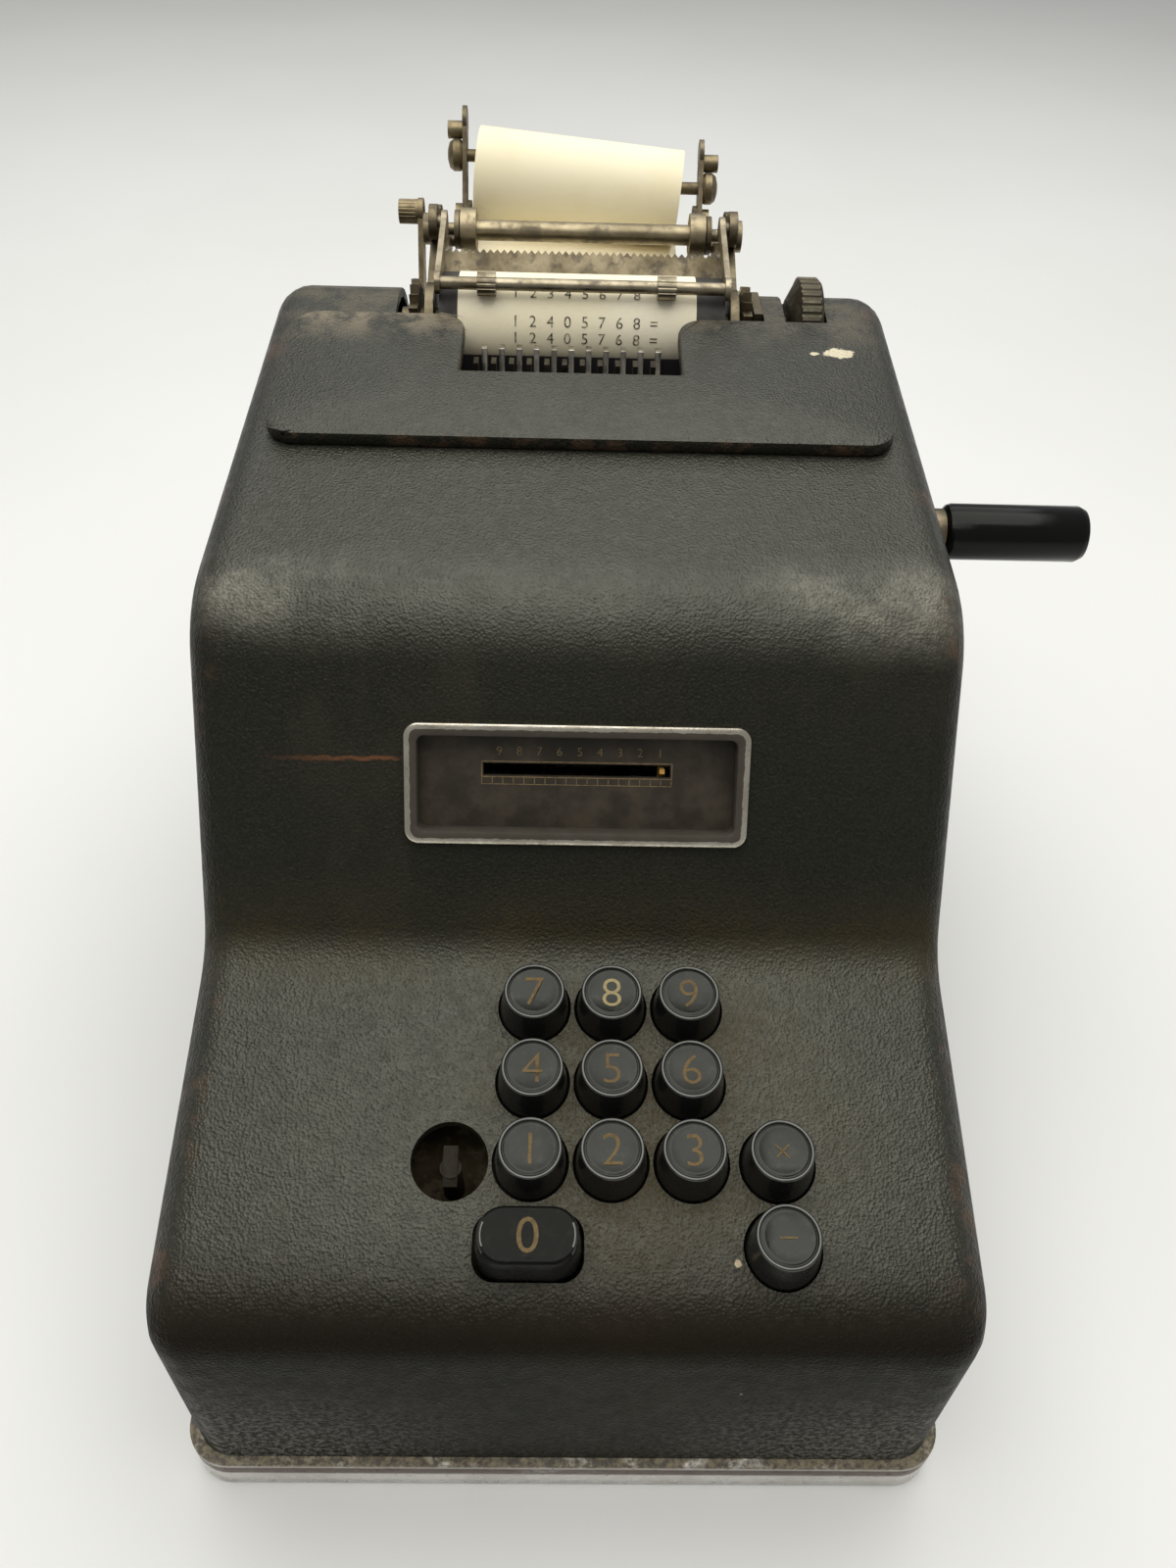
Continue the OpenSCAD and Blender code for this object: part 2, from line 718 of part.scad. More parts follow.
module crank_grip() {
    y = crank_y;
    z = crank_z + arm_l;
    x = arm_x + arm_t + 4 + gap;
    r = grip_d / 2;
    color("black") translate([x, y, z]) rotate([0, 90, 0]) difference() {
        rotate_extrude() polygon([
            [0, 0], [r - 1.4, 0], [r - 0.4, 0.6], [r, 1.8], [r, grip_l - 2.4],
            [r - 0.8, grip_l - 0.7], [r - 2.4, grip_l], [0, grip_l]
        ]);
        translate([0, 0, -1]) cylinder(r = 3.2 + run_gap, h = grip_l - 4.5);
    }
}

// an unbroken wire: a hook round one pin, a close coil and a hook round the other pin
module crank_spring() {
    p0 = [cam_x + cam_t + 6, crank_y, crank_z - spring_pin_l];
    p1 = [cam_x + cam_t + 6, rail_y[1], rail_z];
    wire = 0.7;
    coil = 4.6;
    len_all = norm(p1 - p0);
    turns = 16;
    hook_pin = spring_pin_r + wire + gap;
    hook_rail = rod_r + wire + gap;
    body = len_all - 26;
    path = concat(
        [for (a = [-80:20:180]) [0, -hook_pin * sin(a), hook_pin * cos(a)]],
        [for (a = [20:20:turns * 360])
            let (u = a / (turns * 360), off = u < 0.03 ? 1 - u / 0.03 : u > 0.97 ? (u - 0.97) / 0.03 : 0)
            [coil * sin(a), coil * (cos(a) - off), -13 - u * body]],
        [for (a = [0:20:260]) [0, hook_rail * sin(a), -len_all + hook_rail * cos(a)]]
    );
    echo(spring_gap_to_itself = min([for (i = [0:len(path) - 1], j = [i + 9:1:len(path) - 1])
        norm(path[i] - path[j])]) - 2 * wire);
    tilt = atan2(p0[1] - p1[1], p0[2] - p1[2]);
    color("silver") translate(p0) rotate([-tilt, 0, 0]) tube(path, wire, 6);
}

// wire along a path, each ring carried from the one before without twist
function unit(v) = v / norm(v);
function along(p, i) = unit(p[min(i + 1, len(p) - 1)] - p[max(i - 1, 0)]);
function carry(p, i, n) = let (t = along(p, i), m = unit(n - (n * t) * t))
    i == len(p) - 1 ? [m] : concat([m], carry(p, i + 1, m));
module tube(p, r, n) {
    first = along(p, 0);
    start = abs(first[0]) < 0.8 ? [1, 0, 0] : [0, 1, 0];
    ms = carry(p, 0, start);
    pts = [for (i = [0:len(p) - 1], k = [0:n - 1]) let (t = along(p, i), m = ms[i], b = cross(t, m))
        p[i] + r * (cos(360 * k / n) * m + sin(360 * k / n) * b)];
    faces = concat(
        [[for (k = [0:n - 1]) k]],
        [for (i = [0:len(p) - 2], k = [0:n - 1])
            [i * n + k, (i + 1) * n + k, (i + 1) * n + (k + 1) % n, i * n + (k + 1) % n]],
        [[for (k = [n - 1:-1:0]) (len(p) - 1) * n + k]]
    );
    polyhedron(points = pts, faces = faces, convexity = 10);
}

function type_at(i) = type_x + (i - (type_n - 1) / 2) * type_pitch;

module type_bars() {
    half = type_t / 2;
    color("silver") for (i = [0:type_n - 1]) slab(type_at(i) - half, type_at(i) + half) polygon([
        [type_y - 7, lift_z - 4], [type_y - 3, lift_z - 4], [type_y - 3, type_top - 14],
        [type_y, type_top - 11], [type_y, type_top], [type_y - 3, type_top],
        [type_y - 4, type_top - 5], [type_y - 7, type_top - 9]
    ]);
}

module lift_bar() {
    color("gray") difference() {
        union() {
            translate([guide_rods[0] - 6, type_y - 10, lift_z])
                cube([cam_x + cam_t - guide_rods[0] + 6, 10, 6]);
            slab(cam_x, cam_x + cam_t)
                link([crank_y, follow_z], follow_r, [type_y - 5, lift_z + 2], 5);
        }
        for (i = [0:type_n - 1])
            translate([type_at(i) - type_t / 2 - fix_gap, type_y - 7 - fix_gap, lift_z - 1])
            cube([type_t + 2 * fix_gap, 4 + 2 * fix_gap, 8]);
        for (x = guide_rods) translate([x, type_y - 5, lift_z - 1]) cylinder(r = 2.5 + run_gap, h = 8);
    }
}

module bridge_comb() {
    color("tan") union() {
        difference() {
            translate([-frame_in + seat, type_y - 15, bridge_z]) cube([2 * frame_in - 2 * seat, 15.5, 4]);
            for (i = [0:type_n - 1]) translate([type_at(i) - type_t / 2 - 0.3, type_y - 7.3, bridge_z - 1])
                cube([type_t + 0.6, 4.6, 6]);
        }
        for (s = [-1, 1])
            translate([s > 0 ? frame_in - seat - 30 : -frame_in + seat, spool_y - 16, bridge_z])
            cube([30, 32, 4]);
        for (s = [-1, 1]) translate([s * spool_x, spool_y, bridge_z]) cylinder(r = 2.5, h = 24);
        for (x = guide_rods) translate([x, type_y - 5, lift_z - 6])
            cylinder(r = 2.5, h = bridge_z - lift_z + 8);
        for (i = [0:type_n - 1]) translate([type_at(i) - 2.6, type_y - 13, bridge_z + 3])
            cube([1.4, 4, 25]);
    }
}

module ribbon() {
    a = 46;
    t = 0.25;
    b = spool_x - 3;
    y = spool_y + spool_r + 0.6;
    color("black") translate([0, 0, ribbon_z]) linear_extrude(height = ribbon_h) polygon([
        [-b, y], [-a, ribbon_y], [a, ribbon_y], [b, y],
        [b, y + t], [a, ribbon_y + t], [-a, ribbon_y + t], [-b, y + t]
    ]);
}

module ribbon_spool(s) {
    color("dimgray") translate([s * spool_x, spool_y, ribbon_z - 1.5]) rotate_extrude() difference() {
        union() {
            square([spool_r + 2, 1.2]);
            square([spool_r, ribbon_h + 2]);
        }
        square([5 + 2 * run_gap, 60], center = true);
    }
}

module ribbon_spool_left() {
    ribbon_spool(-1);
}

module ribbon_spool_right() {
    ribbon_spool(1);
}

module carriage_bed() {
    color("gray") union() {
        translate([-frame_in + seat, type_y + 5, bed_z])
            cube([2 * frame_in - 2 * seat, rear_y - wall - 3 - type_y - 5, bed_t]);
        difference() {
            translate([51, platen_y - 8, bed_z + 1]) cube([2.6, 16, platen_z + 8 - bed_z - 1]);
            round_x(50, 56, platen_y, platen_z, shaft_r + run_gap);
        }
    }
}

module side_shape() {
    difference() {
        union() {
            translate([platen_y - 12, bed_z + bed_t + seat]) square([32, 22]);
            link([platen_y, platen_z], 11, [platen_y + 2, bed_z + 20], 10);
            link([platen_y, platen_z], 10, [tube_y, tube_z], 7);
            link([tube_y, tube_z], 7, [bail_pivot_y, bail_pivot_z], 5);
            link([release_y, release_z], 6, [tube_y - 4, tube_z - 2], 6);
            link([tube_y, tube_z], 6, [stop_y(), stop_z()], 4.5);
        }
        translate([platen_y, platen_z]) circle(r = shaft_r + run_gap);
        translate([release_y, release_z]) circle(r = 2.5 + run_gap);
        translate([tube_y, tube_z]) circle(r = 2 + fix_gap);
        translate([bail_pivot_y, bail_pivot_z]) circle(r = 2 + run_gap);
    }
}

// place of the pin that the roll arm rests on, under the arm
function stop_y() = tube_y + 28;
function stop_z() = tube_z + (clamp_z - tube_z) * 28 / (clamp_y - tube_y) - 4.3 - gap - 2;

module carriage_plate_left() {
    color("gray") union() {
        slab(-side_x - side_t, -side_x) side_shape();
        round_x(-side_x - side_t, -38, stop_y(), stop_z(), 2);
    }
}

module carriage_plate_right() {
    color("gray") union() {
        slab(side_x, side_x + side_t) side_shape();
        round_x(38, side_x + side_t, stop_y(), stop_z(), 2);
    }
}

module platen() {
    color("dimgray") difference() {
        round_x(-platen_half, platen_half, platen_y, platen_z, platen_r);
        round_x(-platen_half - 1, platen_half + 1, platen_y, platen_z, shaft_r + fix_gap);
    }
}

module platen_shaft() {
    color("silver") round_x(-54, knob_x + knob_t - 2, platen_y, platen_z, shaft_r);
}

module ratchet_wheels() {
    color("goldenrod")
        for (x = [-side_x - side_t - 2 - ratchet_t, side_x + side_t + 1.2]) slab(x, x + ratchet_t)
        translate([platen_y, platen_z]) difference() {
            polygon([for (k = [0:ratchet_n - 1], s = [0, 1])
                (s == 0 ? ratchet_r : ratchet_r - 2.4) * dir(360 * (k + 0.25 * s) / ratchet_n)]);
            circle(r = shaft_r + fix_gap);
        }
}

module platen_knob() {
    n = 36;
    color("silver") translate([knob_x, platen_y, platen_z]) rotate([0, 90, 0]) difference() {
        rotate_extrude() polygon([
            [shaft_r + fix_gap, 0], [9, 0], [knob_r - 1.5, 2.4], [knob_r, 3], [knob_r, knob_t - 1.2],
            [knob_r - 1.2, knob_t], [shaft_r + fix_gap, knob_t]
        ]);
        for (i = [0:n - 1]) rotate([0, 0, 360 * i / n]) translate([knob_r + 0.5, 0, 2])
            cylinder(r = 1, h = knob_t, $fn = 16);
    }
}

module feed_roller() {
    color("dimgray") union() {
        round_x(-paper_w / 2 - 1, paper_w / 2 + 1, feed_y, feed_z, feed_r);
        round_x(-40.5, 40.5, feed_y, feed_z, 2);
    }
}

module release_lever() {
    knob_p = [tube_y + 6, tube_z + 3];
    color("goldenrod") difference() {
        union() {
            round_x(-lever_x - 2, side_x + side_t + 2, release_y, release_z, 2.5);
            for (x = [-39.6, 38]) slab(x, x + 1.6) link([release_y, release_z], 4.5, [feed_y, feed_z], 4);
            slab(-lever_x - 1.6, -lever_x) link([release_y, release_z], 5.5, knob_p, 4);
        }
        round_x(-45, 45, feed_y, feed_z, 2 + run_gap);
        round_x(-60, -lever_x + 1, knob_p[0], knob_p[1], 1.5 + fix_gap);
    }
}

module release_knob() {
    n = 20;
    x = -lever_x - 1.6 - seat;
    color("goldenrod") union() {
        round_x(x - 1, x + 1.5, tube_y + 6, tube_z + 3, 1.5);
        difference() {
            round_x(x - 6, x, tube_y + 6, tube_z + 3, 3.6);
            for (i = [0:n - 1]) let (c = 3.9 * dir(360 * i / n))
                round_x(x - 7, x - 0.8, tube_y + 6 + c[0], tube_z + 3 + c[1], 0.45, $fn = 16);
        }
    }
}

module bail() {
    color("silver") union() {
        round_x(-42, 42, bail_y, bail_z, bail_r);
        for (s = [-1, 1]) {
            slab(s > 0 ? 41.2 : -42.8, s > 0 ? 42.8 : -41.2)
                link([bail_y, bail_z], 3.2, [bail_pivot_y, bail_pivot_z], 3.4);
            round_x(s > 0 ? 42 : -side_x - side_t, s > 0 ? side_x + side_t : -42,
                bail_pivot_y, bail_pivot_z, 2);
        }
    }
}

module bail_rollers() {
    n = 16;
    color("gray") for (x = [-30.5, 21.7]) difference() {
        round_x(x, x + 5.3, bail_y, bail_z, bail_roller_r);
        round_x(x - 1, x + 7, bail_y, bail_z, bail_r + run_gap);
        for (i = [0:n - 1]) let (c = (bail_roller_r + 0.3) * dir(360 * i / n))
            round_x(x - 1, x + 7, bail_y + c[0], bail_z + c[1], 0.5, $fn = 16);
    }
}

module tear_bar() {
    w = side_x - seat;
    n = 42;
    color("silver")
        translate([0, platen_y + 16, platen_z + 12]) rotate([45, 0, 0]) translate([0, -3.5, -0.6])
        linear_extrude(height = 1.2) polygon(concat(
            [[w, 0], [w, 6]],
            [for (i = [0:n - 1], s = [0, 1]) [w - 2 * w * (i + 0.5 * s) / n, s == 0 ? 6 : 7.2]],
            [[-w, 6], [-w, 0]]
        ));
}

module guide_tube() {
    color("goldenrod") translate([0, tube_y, tube_z]) rotate([0, 90, 0]) union() {
        cylinder(r = 2, h = 2 * (side_x + side_t + 1), center = true);
        cylinder(r = tube_r, h = 76, center = true);
        for (s = [-1, 1]) translate([0, 0, s * 35.6]) cylinder(r = 6.3, h = 4.8, center = true);
        for (s = [-1, 1]) translate([0, 0, s * (side_x + side_t + 1.5 + seat)])
            cylinder(r = 4.6, h = 3, center = true);
    }
}

module roll_arms() {
    color("gray") for (s = [-1, 1]) difference() {
        slab(s > 0 ? 38.4 : -39.9, s > 0 ? 39.9 : -38.4)
            link([tube_y, tube_z], 5.6, [clamp_y, clamp_z], 4.4);
        round_x(-50, 50, tube_y, tube_z, 2 + run_gap);
        round_x(-50, 50, clamp_y, clamp_z, 1.5 + fix_gap);
    }
}

module extension(p) {
    d = dir(slide_dir);
    difference() {
        link(p - 22 * d, 4.5, p + 11 * d, 4.5);
        link(p - 20 * d, 2.05, p - 8.5 * d, 2.05);
        translate(p) circle(r = 2 + fix_gap);
        translate(p + 8 * d) circle(r = 1.2 + fix_gap);
    }
}

module roll_extensions() {
    color("gray") {
        slab(-39.9 - seat - 1.5, -39.9 - seat) extension(roll_left);
        slab(39.9 + seat, 39.9 + seat + 1.5) extension(roll_right);
    }
}

// a domed nut with a pin that enters the roll
module roll_pivot(p, s) {
    color("silver") translate([0, p[0], p[1]]) rotate([0, s * 90, 0]) union() {
        translate([0, 0, 30]) cylinder(r = 2, h = 15);
        translate([0, 0, 41.5])
            rotate_extrude() polygon([[0, 0], [4.4, 0], [5, 0.8], [5, 3], [4, 4.4], [2, 5], [0, 5]]);
    }
}

module roll_pivots() {
    roll_pivot(roll_left, -1);
    roll_pivot(roll_right, 1);
}

module clamp_nut(p, s) {
    translate([0, p[0], p[1]]) rotate([0, s * 90, 0]) union() {
        translate([0, 0, 39.95]) cylinder(r = 1.2, h = 4);
        translate([0, 0, 41.5]) cylinder(r = 2.8, h = 5);
    }
}

module clamp_screw(s) {
    translate([0, clamp_y, clamp_z]) rotate([0, s * 90, 0]) union() {
        translate([0, 0, 38]) cylinder(r = 1.5, h = 5);
        translate([0, 0, 41.5]) cylinder(r = 3.4, h = 2.4);
    }
}

module clamp_nuts() {
    color("goldenrod") {
        clamp_nut(roll_left + 8 * dir(slide_dir), -1);
        clamp_nut(roll_right + 8 * dir(slide_dir), 1);
        clamp_screw(-1);
        clamp_screw(1);
    }
}

module paper_roll() {
    color("ivory") translate(roll_mid) rotate([0, roll_turn_y, roll_turn_z]) rotate([0, 90, 0])
        difference() {
            cylinder(r = roll_r, h = paper_w, center = true);
            cylinder(r = roll_core, h = paper_w + 2, center = true);
        }
}

// middle of the roll at one edge of the paper
function roll_end(x) = [roll_mid[1], roll_mid[2]] + x / roll_axis[0] * [roll_axis[1], roll_axis[2]];
// direction of the web from the platen to the roll at one edge
function web_dir(x) = let (d = roll_end(x) - [platen_y, platen_z])
    atan2(d[1], d[0]) + asin((paper_r - roll_r - 0.5) / norm(d));
// points of one edge of the paper: round the platen, then to the roll
function paper_edge(x, t) = let (w = web_dir(x) - 90 + 360, n = dir(w)) concat(
    [for (k = [0:36]) let (a = 48 + (w - 48) * k / 36) [platen_y, platen_z] + (paper_r + t) * dir(a)],
    [for (k = [1:8])
        let (p = [platen_y, platen_z] + (paper_r + t) * n, q = roll_end(x) + (roll_r + 0.5 + t) * n)
        p + (q - p) * k / 8]
);

module paper_strip() {
    half = paper_w / 2;
    lists = [
        [for (p = paper_edge(-half, 0)) [-half, p[0], p[1]]],
        [for (p = paper_edge(-half, paper_t)) [-half, p[0], p[1]]],
        [for (p = paper_edge(half, paper_t)) [half, p[0], p[1]]],
        [for (p = paper_edge(half, 0)) [half, p[0], p[1]]]
    ];
    m = len(lists[0]);
    faces = concat(
        [[0, m, 2 * m], [0, 2 * m, 3 * m]],
        [for (q = [0:3], i = [0:m - 2], s = [0, 1])
            let (a = q * m + i, b = ((q + 1) % 4) * m + i)
            q < 2 ? (s == 0 ? [a, a + 1, b + 1] : [a, b + 1, b])
                : (s == 0 ? [a, a + 1, b] : [a + 1, b + 1, b])],
        [[4 * m - 1, 3 * m - 1, 2 * m - 1], [4 * m - 1, 2 * m - 1, m - 1]]
    );
    points = concat(lists[0], lists[1], lists[2], lists[3]);
    color("ivory") translate([paper_x, 0, 0]) polyhedron(points = points, faces = faces, convexity = 6);
}

module place() {
    translate([0, -base_d / 2, base_h]) children();
}

place() base_tray();
place() housing();
place() deck_plate();
place() window_bezel();
place() window_plate();
place() case_screws();
for (k = KEYS) place() key(k);
place() key_guides();
place() key_springs();
place() frame_left();
place() frame_right();
place() frame_rods();
place() pin_carriage();
place() column_pointer();
place() register_shaft();
place() register_wheels();
place() crank_shaft();
place() crank_cam();
place() crank_arm();
place() crank_spindle();
place() crank_grip();
place() crank_spring();
place() type_bars();
place() lift_bar();
place() bridge_comb();
place() ribbon();
place() ribbon_spool_left();
place() ribbon_spool_right();
place() carriage_bed();
place() carriage_plate_left();
place() carriage_plate_right();
place() platen();
place() platen_shaft();
place() ratchet_wheels();
place() platen_knob();
place() feed_roller();
place() release_lever();
place() release_knob();
place() bail();
place() bail_rollers();
place() tear_bar();
place() guide_tube();
place() roll_arms();
place() roll_extensions();
place() roll_pivots();
place() clamp_nuts();
place() paper_roll();
place() paper_strip();
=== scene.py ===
"""Looks of the adding machine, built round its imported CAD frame.

Places are in mm as in the part's source: x from the middle, y from the base's front edge and z from
its top face. Blender's own lengths are metres.
"""

import math

import bpy
from mathutils import Matrix, Vector

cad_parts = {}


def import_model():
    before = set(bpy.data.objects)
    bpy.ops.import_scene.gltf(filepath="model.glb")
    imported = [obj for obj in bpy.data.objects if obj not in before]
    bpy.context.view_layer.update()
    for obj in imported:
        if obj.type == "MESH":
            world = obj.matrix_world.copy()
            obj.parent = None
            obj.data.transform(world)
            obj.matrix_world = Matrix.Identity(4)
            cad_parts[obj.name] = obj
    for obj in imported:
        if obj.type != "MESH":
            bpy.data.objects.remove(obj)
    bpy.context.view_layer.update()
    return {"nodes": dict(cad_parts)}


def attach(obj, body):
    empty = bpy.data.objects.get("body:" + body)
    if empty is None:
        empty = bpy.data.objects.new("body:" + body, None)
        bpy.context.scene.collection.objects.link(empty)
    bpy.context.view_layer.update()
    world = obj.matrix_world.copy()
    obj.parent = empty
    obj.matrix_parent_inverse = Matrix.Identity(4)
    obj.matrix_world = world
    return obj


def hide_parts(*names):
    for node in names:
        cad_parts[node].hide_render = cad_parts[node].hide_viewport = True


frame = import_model()
nodes = frame["nodes"]
scene = bpy.context.scene

# Sizes repeated from the part's source
MM = 0.001
BASE_D = 290.0
BASE_H = 14.0
FRONT = (2.0, 70.0)
VALLEY = (87.0, 93.8)
BROW = (130.3, 167.9)
KEY_SLOPE = math.atan2(VALLEY[1] - FRONT[1], VALLEY[0] - FRONT[0])
WIN_SLOPE = math.atan2(BROW[1] - VALLEY[1], BROW[0] - VALLEY[0])
KEY_PITCH = 18.2
KEY_X = -9.2
KEY_Y = 20.7
KEY_LEAN = math.radians(8)
FUNCTION_STEP = 1.2
WIN_Y = 108.5
WIN_Z = VALLEY[1] + (WIN_Y - VALLEY[0]) * math.tan(WIN_SLOPE)
WIN_W = 82.0
WIN_H = 29.5
WIN_CORNER = 3.5
PLATEN = (264.0, 175.0)
PLATEN_R = 14.0
PAPER_GAP = 0.1
PAPER_T = 0.2
PAPER_R = PLATEN_R + PAPER_GAP + PAPER_T
ROLL_MID = (351.2, 186.6)
TYPE_X = -3.0
TYPE_PITCH = 5.08

# The shared frame's origin, as a place of the drawing
ORIGIN = {"x": 0.0, "y": BASE_D / 2, "z": -BASE_H}


def world(x, y, z):
    """A place of the drawing as a point of the shared frame."""
    return Vector((x - ORIGIN["x"], y - ORIGIN["y"], z - ORIGIN["z"])) * MM


def leaning(place, angle):
    """From axes in mm that stand at a place and lean back by an angle, to the shared frame."""
    return Matrix.Translation(world(*place)) @ Matrix.Rotation(angle, 4, "X") @ Matrix.Scale(MM, 4)


class Shader:
    """A material's node tree, with short calls for the nodes used here."""

    def __init__(self, name):
        self.mat = bpy.data.materials.new(name)
        self.mat.use_nodes = True
        self.tree = self.mat.node_tree
        self.tree.nodes.clear()
        out = self.node("ShaderNodeOutputMaterial")
        self.bsdf = self.node("ShaderNodeBsdfPrincipled")
        self.link(self.bsdf.outputs[0], out.inputs[0])
        self.coord = self.node("ShaderNodeTexCoord").outputs["Object"]
        self.x, self.y, self.z = self.split(self.coord)
        self.nx, self.ny, self.nz = self.split(self.node("ShaderNodeNewGeometry").outputs["Normal"])

    def node(self, kind):
        return self.tree.nodes.new(kind)

    def link(self, output, socket):
        self.tree.links.new(output, socket)

    def split(self, vector):
        n = self.node("ShaderNodeSeparateXYZ")
        self.link(vector, n.inputs[0])
        return n.outputs

    def put(self, value, socket):
        """Links an output to a socket, or sets a number or a tone on it."""
        if isinstance(value, bpy.types.NodeSocket):
            self.link(value, socket)
        elif isinstance(value, tuple):
            socket.default_value = (*value, 1.0)
        else:
            socket.default_value = value

    def finish(self, **inputs):
        """Fills the main shader's inputs, named in small letters, and gives the material."""
        for key, value in inputs.items():
            name = key.replace("_", " ").title().replace("Ior", "IOR")
            self.put(value, self.bsdf.inputs[name])
        return self.mat

    def math(self, operation, a, b=0.0, clamp=False):
        n = self.node("ShaderNodeMath")
        n.operation = operation
        n.use_clamp = clamp
        self.put(a, n.inputs[0])
        self.put(b, n.inputs[1])
        return n.outputs[0]

    def mul(self, first, *others):
        for value in others:
            first = self.math("MULTIPLY", first, value)
        return first

    def add(self, a, b):
        return self.math("ADD", a, b)

    def sub(self, a, b):
        return self.math("SUBTRACT", a, b)

    def largest(self, a, b):
        return self.math("MAXIMUM", a, b)

    def absolute(self, a):
        return self.math("ABSOLUTE", a)

    def length(self, first, *others):
        """Length of a line from its parts along the axes."""
        total = self.mul(first, first)
        for part in others:
            total = self.add(total, self.mul(part, part))
        return self.math("SQRT", total)

    def fit(self, value, low, high, to_low=0.0, to_high=1.0):
        """Soft step of a value between two levels; it falls where low is above high."""
        n = self.node("ShaderNodeMapRange")
        n.interpolation_type = "SMOOTHSTEP"
        for socket, entry in zip(n.inputs, (value, low, high, to_low, to_high)):
            self.put(entry, socket)
        return n.outputs[0]

    def ramp(self, axis, start, end, to_low=0.0, to_high=1.0):
        """Soft step between two places of the drawing along an axis."""
        low = (start - ORIGIN[axis]) * MM
        high = (end - ORIGIN[axis]) * MM
        return self.fit(getattr(self, axis), low, high, to_low, to_high)

    def sideways(self, start, end, to_low=0.0, to_high=1.0, middle=0.0):
        """Soft step by the distance in mm to either side of a middle plane."""
        off = self.absolute(self.sub(self.x, middle * MM))
        return self.fit(off, start * MM, end * MM, to_low, to_high)

    def noise(self, scale, detail=3, gain=0.55, stretch=None):
        n = self.node("ShaderNodeTexNoise")
        source = self.coord
        if stretch:
            m = self.node("ShaderNodeMapping")
            m.inputs["Scale"].default_value = stretch
            self.link(source, m.inputs[0])
            source = m.outputs[0]
        self.link(source, n.inputs["Vector"])
        n.inputs["Scale"].default_value = scale
        n.inputs["Detail"].default_value = detail
        n.inputs["Roughness"].default_value = gain
        return n.outputs["Fac"]

    def patches(self, scale, low, high, to_low=0.0, to_high=1.0, detail=4, gain=0.7):
        """Cloudy mask: noise cut softly between two levels."""
        return self.fit(self.noise(scale, detail, gain), low, high, to_low, to_high)

    def ragged(self, scale, depth):
        """Uneven shift to either side, within a depth in mm."""
        return self.mul(self.sub(self.noise(scale, 4, 0.7), 0.5), depth * MM)

    def cells(self, scale):
        n = self.node("ShaderNodeTexVoronoi")
        self.link(self.coord, n.inputs["Vector"])
        n.inputs["Scale"].default_value = scale
        return n.outputs["Distance"]

    def near(self, place, radius, soft, squash=(1, 1, 1), fray=None):
        """1 within a radius of a place of the drawing, in mm; fray is a ragged edge's scale and depth."""
        axes = zip((self.x, self.y, self.z), world(*place), squash)
        distance = self.length(*[self.mul(self.sub(axis, centre), k) for axis, centre, k in axes])
        if fray:
            distance = self.add(distance, self.ragged(*fray))
        return self.fit(distance, (radius + soft) * MM, (radius - soft) * MM)

    def mix(self, share, a, b):
        n = self.node("ShaderNodeMix")
        n.data_type = "RGBA"
        self.put(share, n.inputs[0])
        self.put(a, n.inputs[6])
        self.put(b, n.inputs[7])
        return n.outputs[2]

    def stain(self, col, mask, tone, strength=1.0):
        """Lays a tone over a colour where the mask is 1."""
        return self.mix(self.mul(mask, strength), col, tone)

    def bump(self, height, depth, strength=1.0, after=None):
        """Relief of a height map, at a depth in mm."""
        n = self.node("ShaderNodeBump")
        n.inputs["Strength"].default_value = strength
        n.inputs["Distance"].default_value = depth * MM
        self.link(height, n.inputs["Height"])
        if after is not None:
            self.link(after, n.inputs["Normal"])
        return n.outputs[0]


# Paint of the housing and the deck plate
WRINKLE_SCALE = 1500
PEBBLE_SCALE = 1350


def paint(name, wear):
    """Dark wrinkle paint with dust; wear adds a piece's own marks, painted highlight and shade among them
    on the housing, and says how far they dull it.
    """
    dark = (0.0125, 0.0127, 0.0095)
    pale = (0.016, 0.016, 0.012)
    ridge = (0.024, 0.0235, 0.0175)
    dirt = (0.07, 0.055, 0.035)
    dust = (0.14, 0.125, 0.095)
    s = Shader(name)
    grain = s.noise(WRINKLE_SCALE, 2, 0.6)
    col = s.mix(s.patches(14, 0.35, 0.7, gain=0.55), dark, pale)
    col = s.mix(s.fit(grain, 0.3, 0.75), col, ridge)
    streaks = s.fit(s.noise(34, 5, 0.65, stretch=(1, 0.5, 0.5)), 0.5, 0.75)
    col = s.stain(col, streaks, dirt, 0.16)
    col, dulled = wear(s, col)
    settled = s.mul(s.patches(420, 0.45, 0.75, detail=3, gain=0.55), s.fit(s.nz, 0.55, 0.95))
    col = s.stain(col, settled, dust, 0.1)
    # the paint shines on top, less on steep faces and round the front edge
    shine = s.fit(s.nz, 0.45, 0.9, 0.08, 0.54)
    shine = s.mul(shine, s.ramp("y", 3, 25, 0.3, 1.0), dulled)
    wrinkle = s.add(s.mul(grain, 0.7), s.mul(s.cells(PEBBLE_SCALE), 0.6))
    relief = s.bump(wrinkle, 0.36, 0.9)
    relief = s.bump(s.noise(45), 0.8, 0.04, relief)
    rough = s.patches(240, 0.3, 0.7, 0.29, 0.44, detail=3, gain=0.55)
    return s.finish(base_color=col, roughness=rough, specular_ior_level=shine,
                    specular_tint=(0.99, 1.0, 0.86), normal=relief)


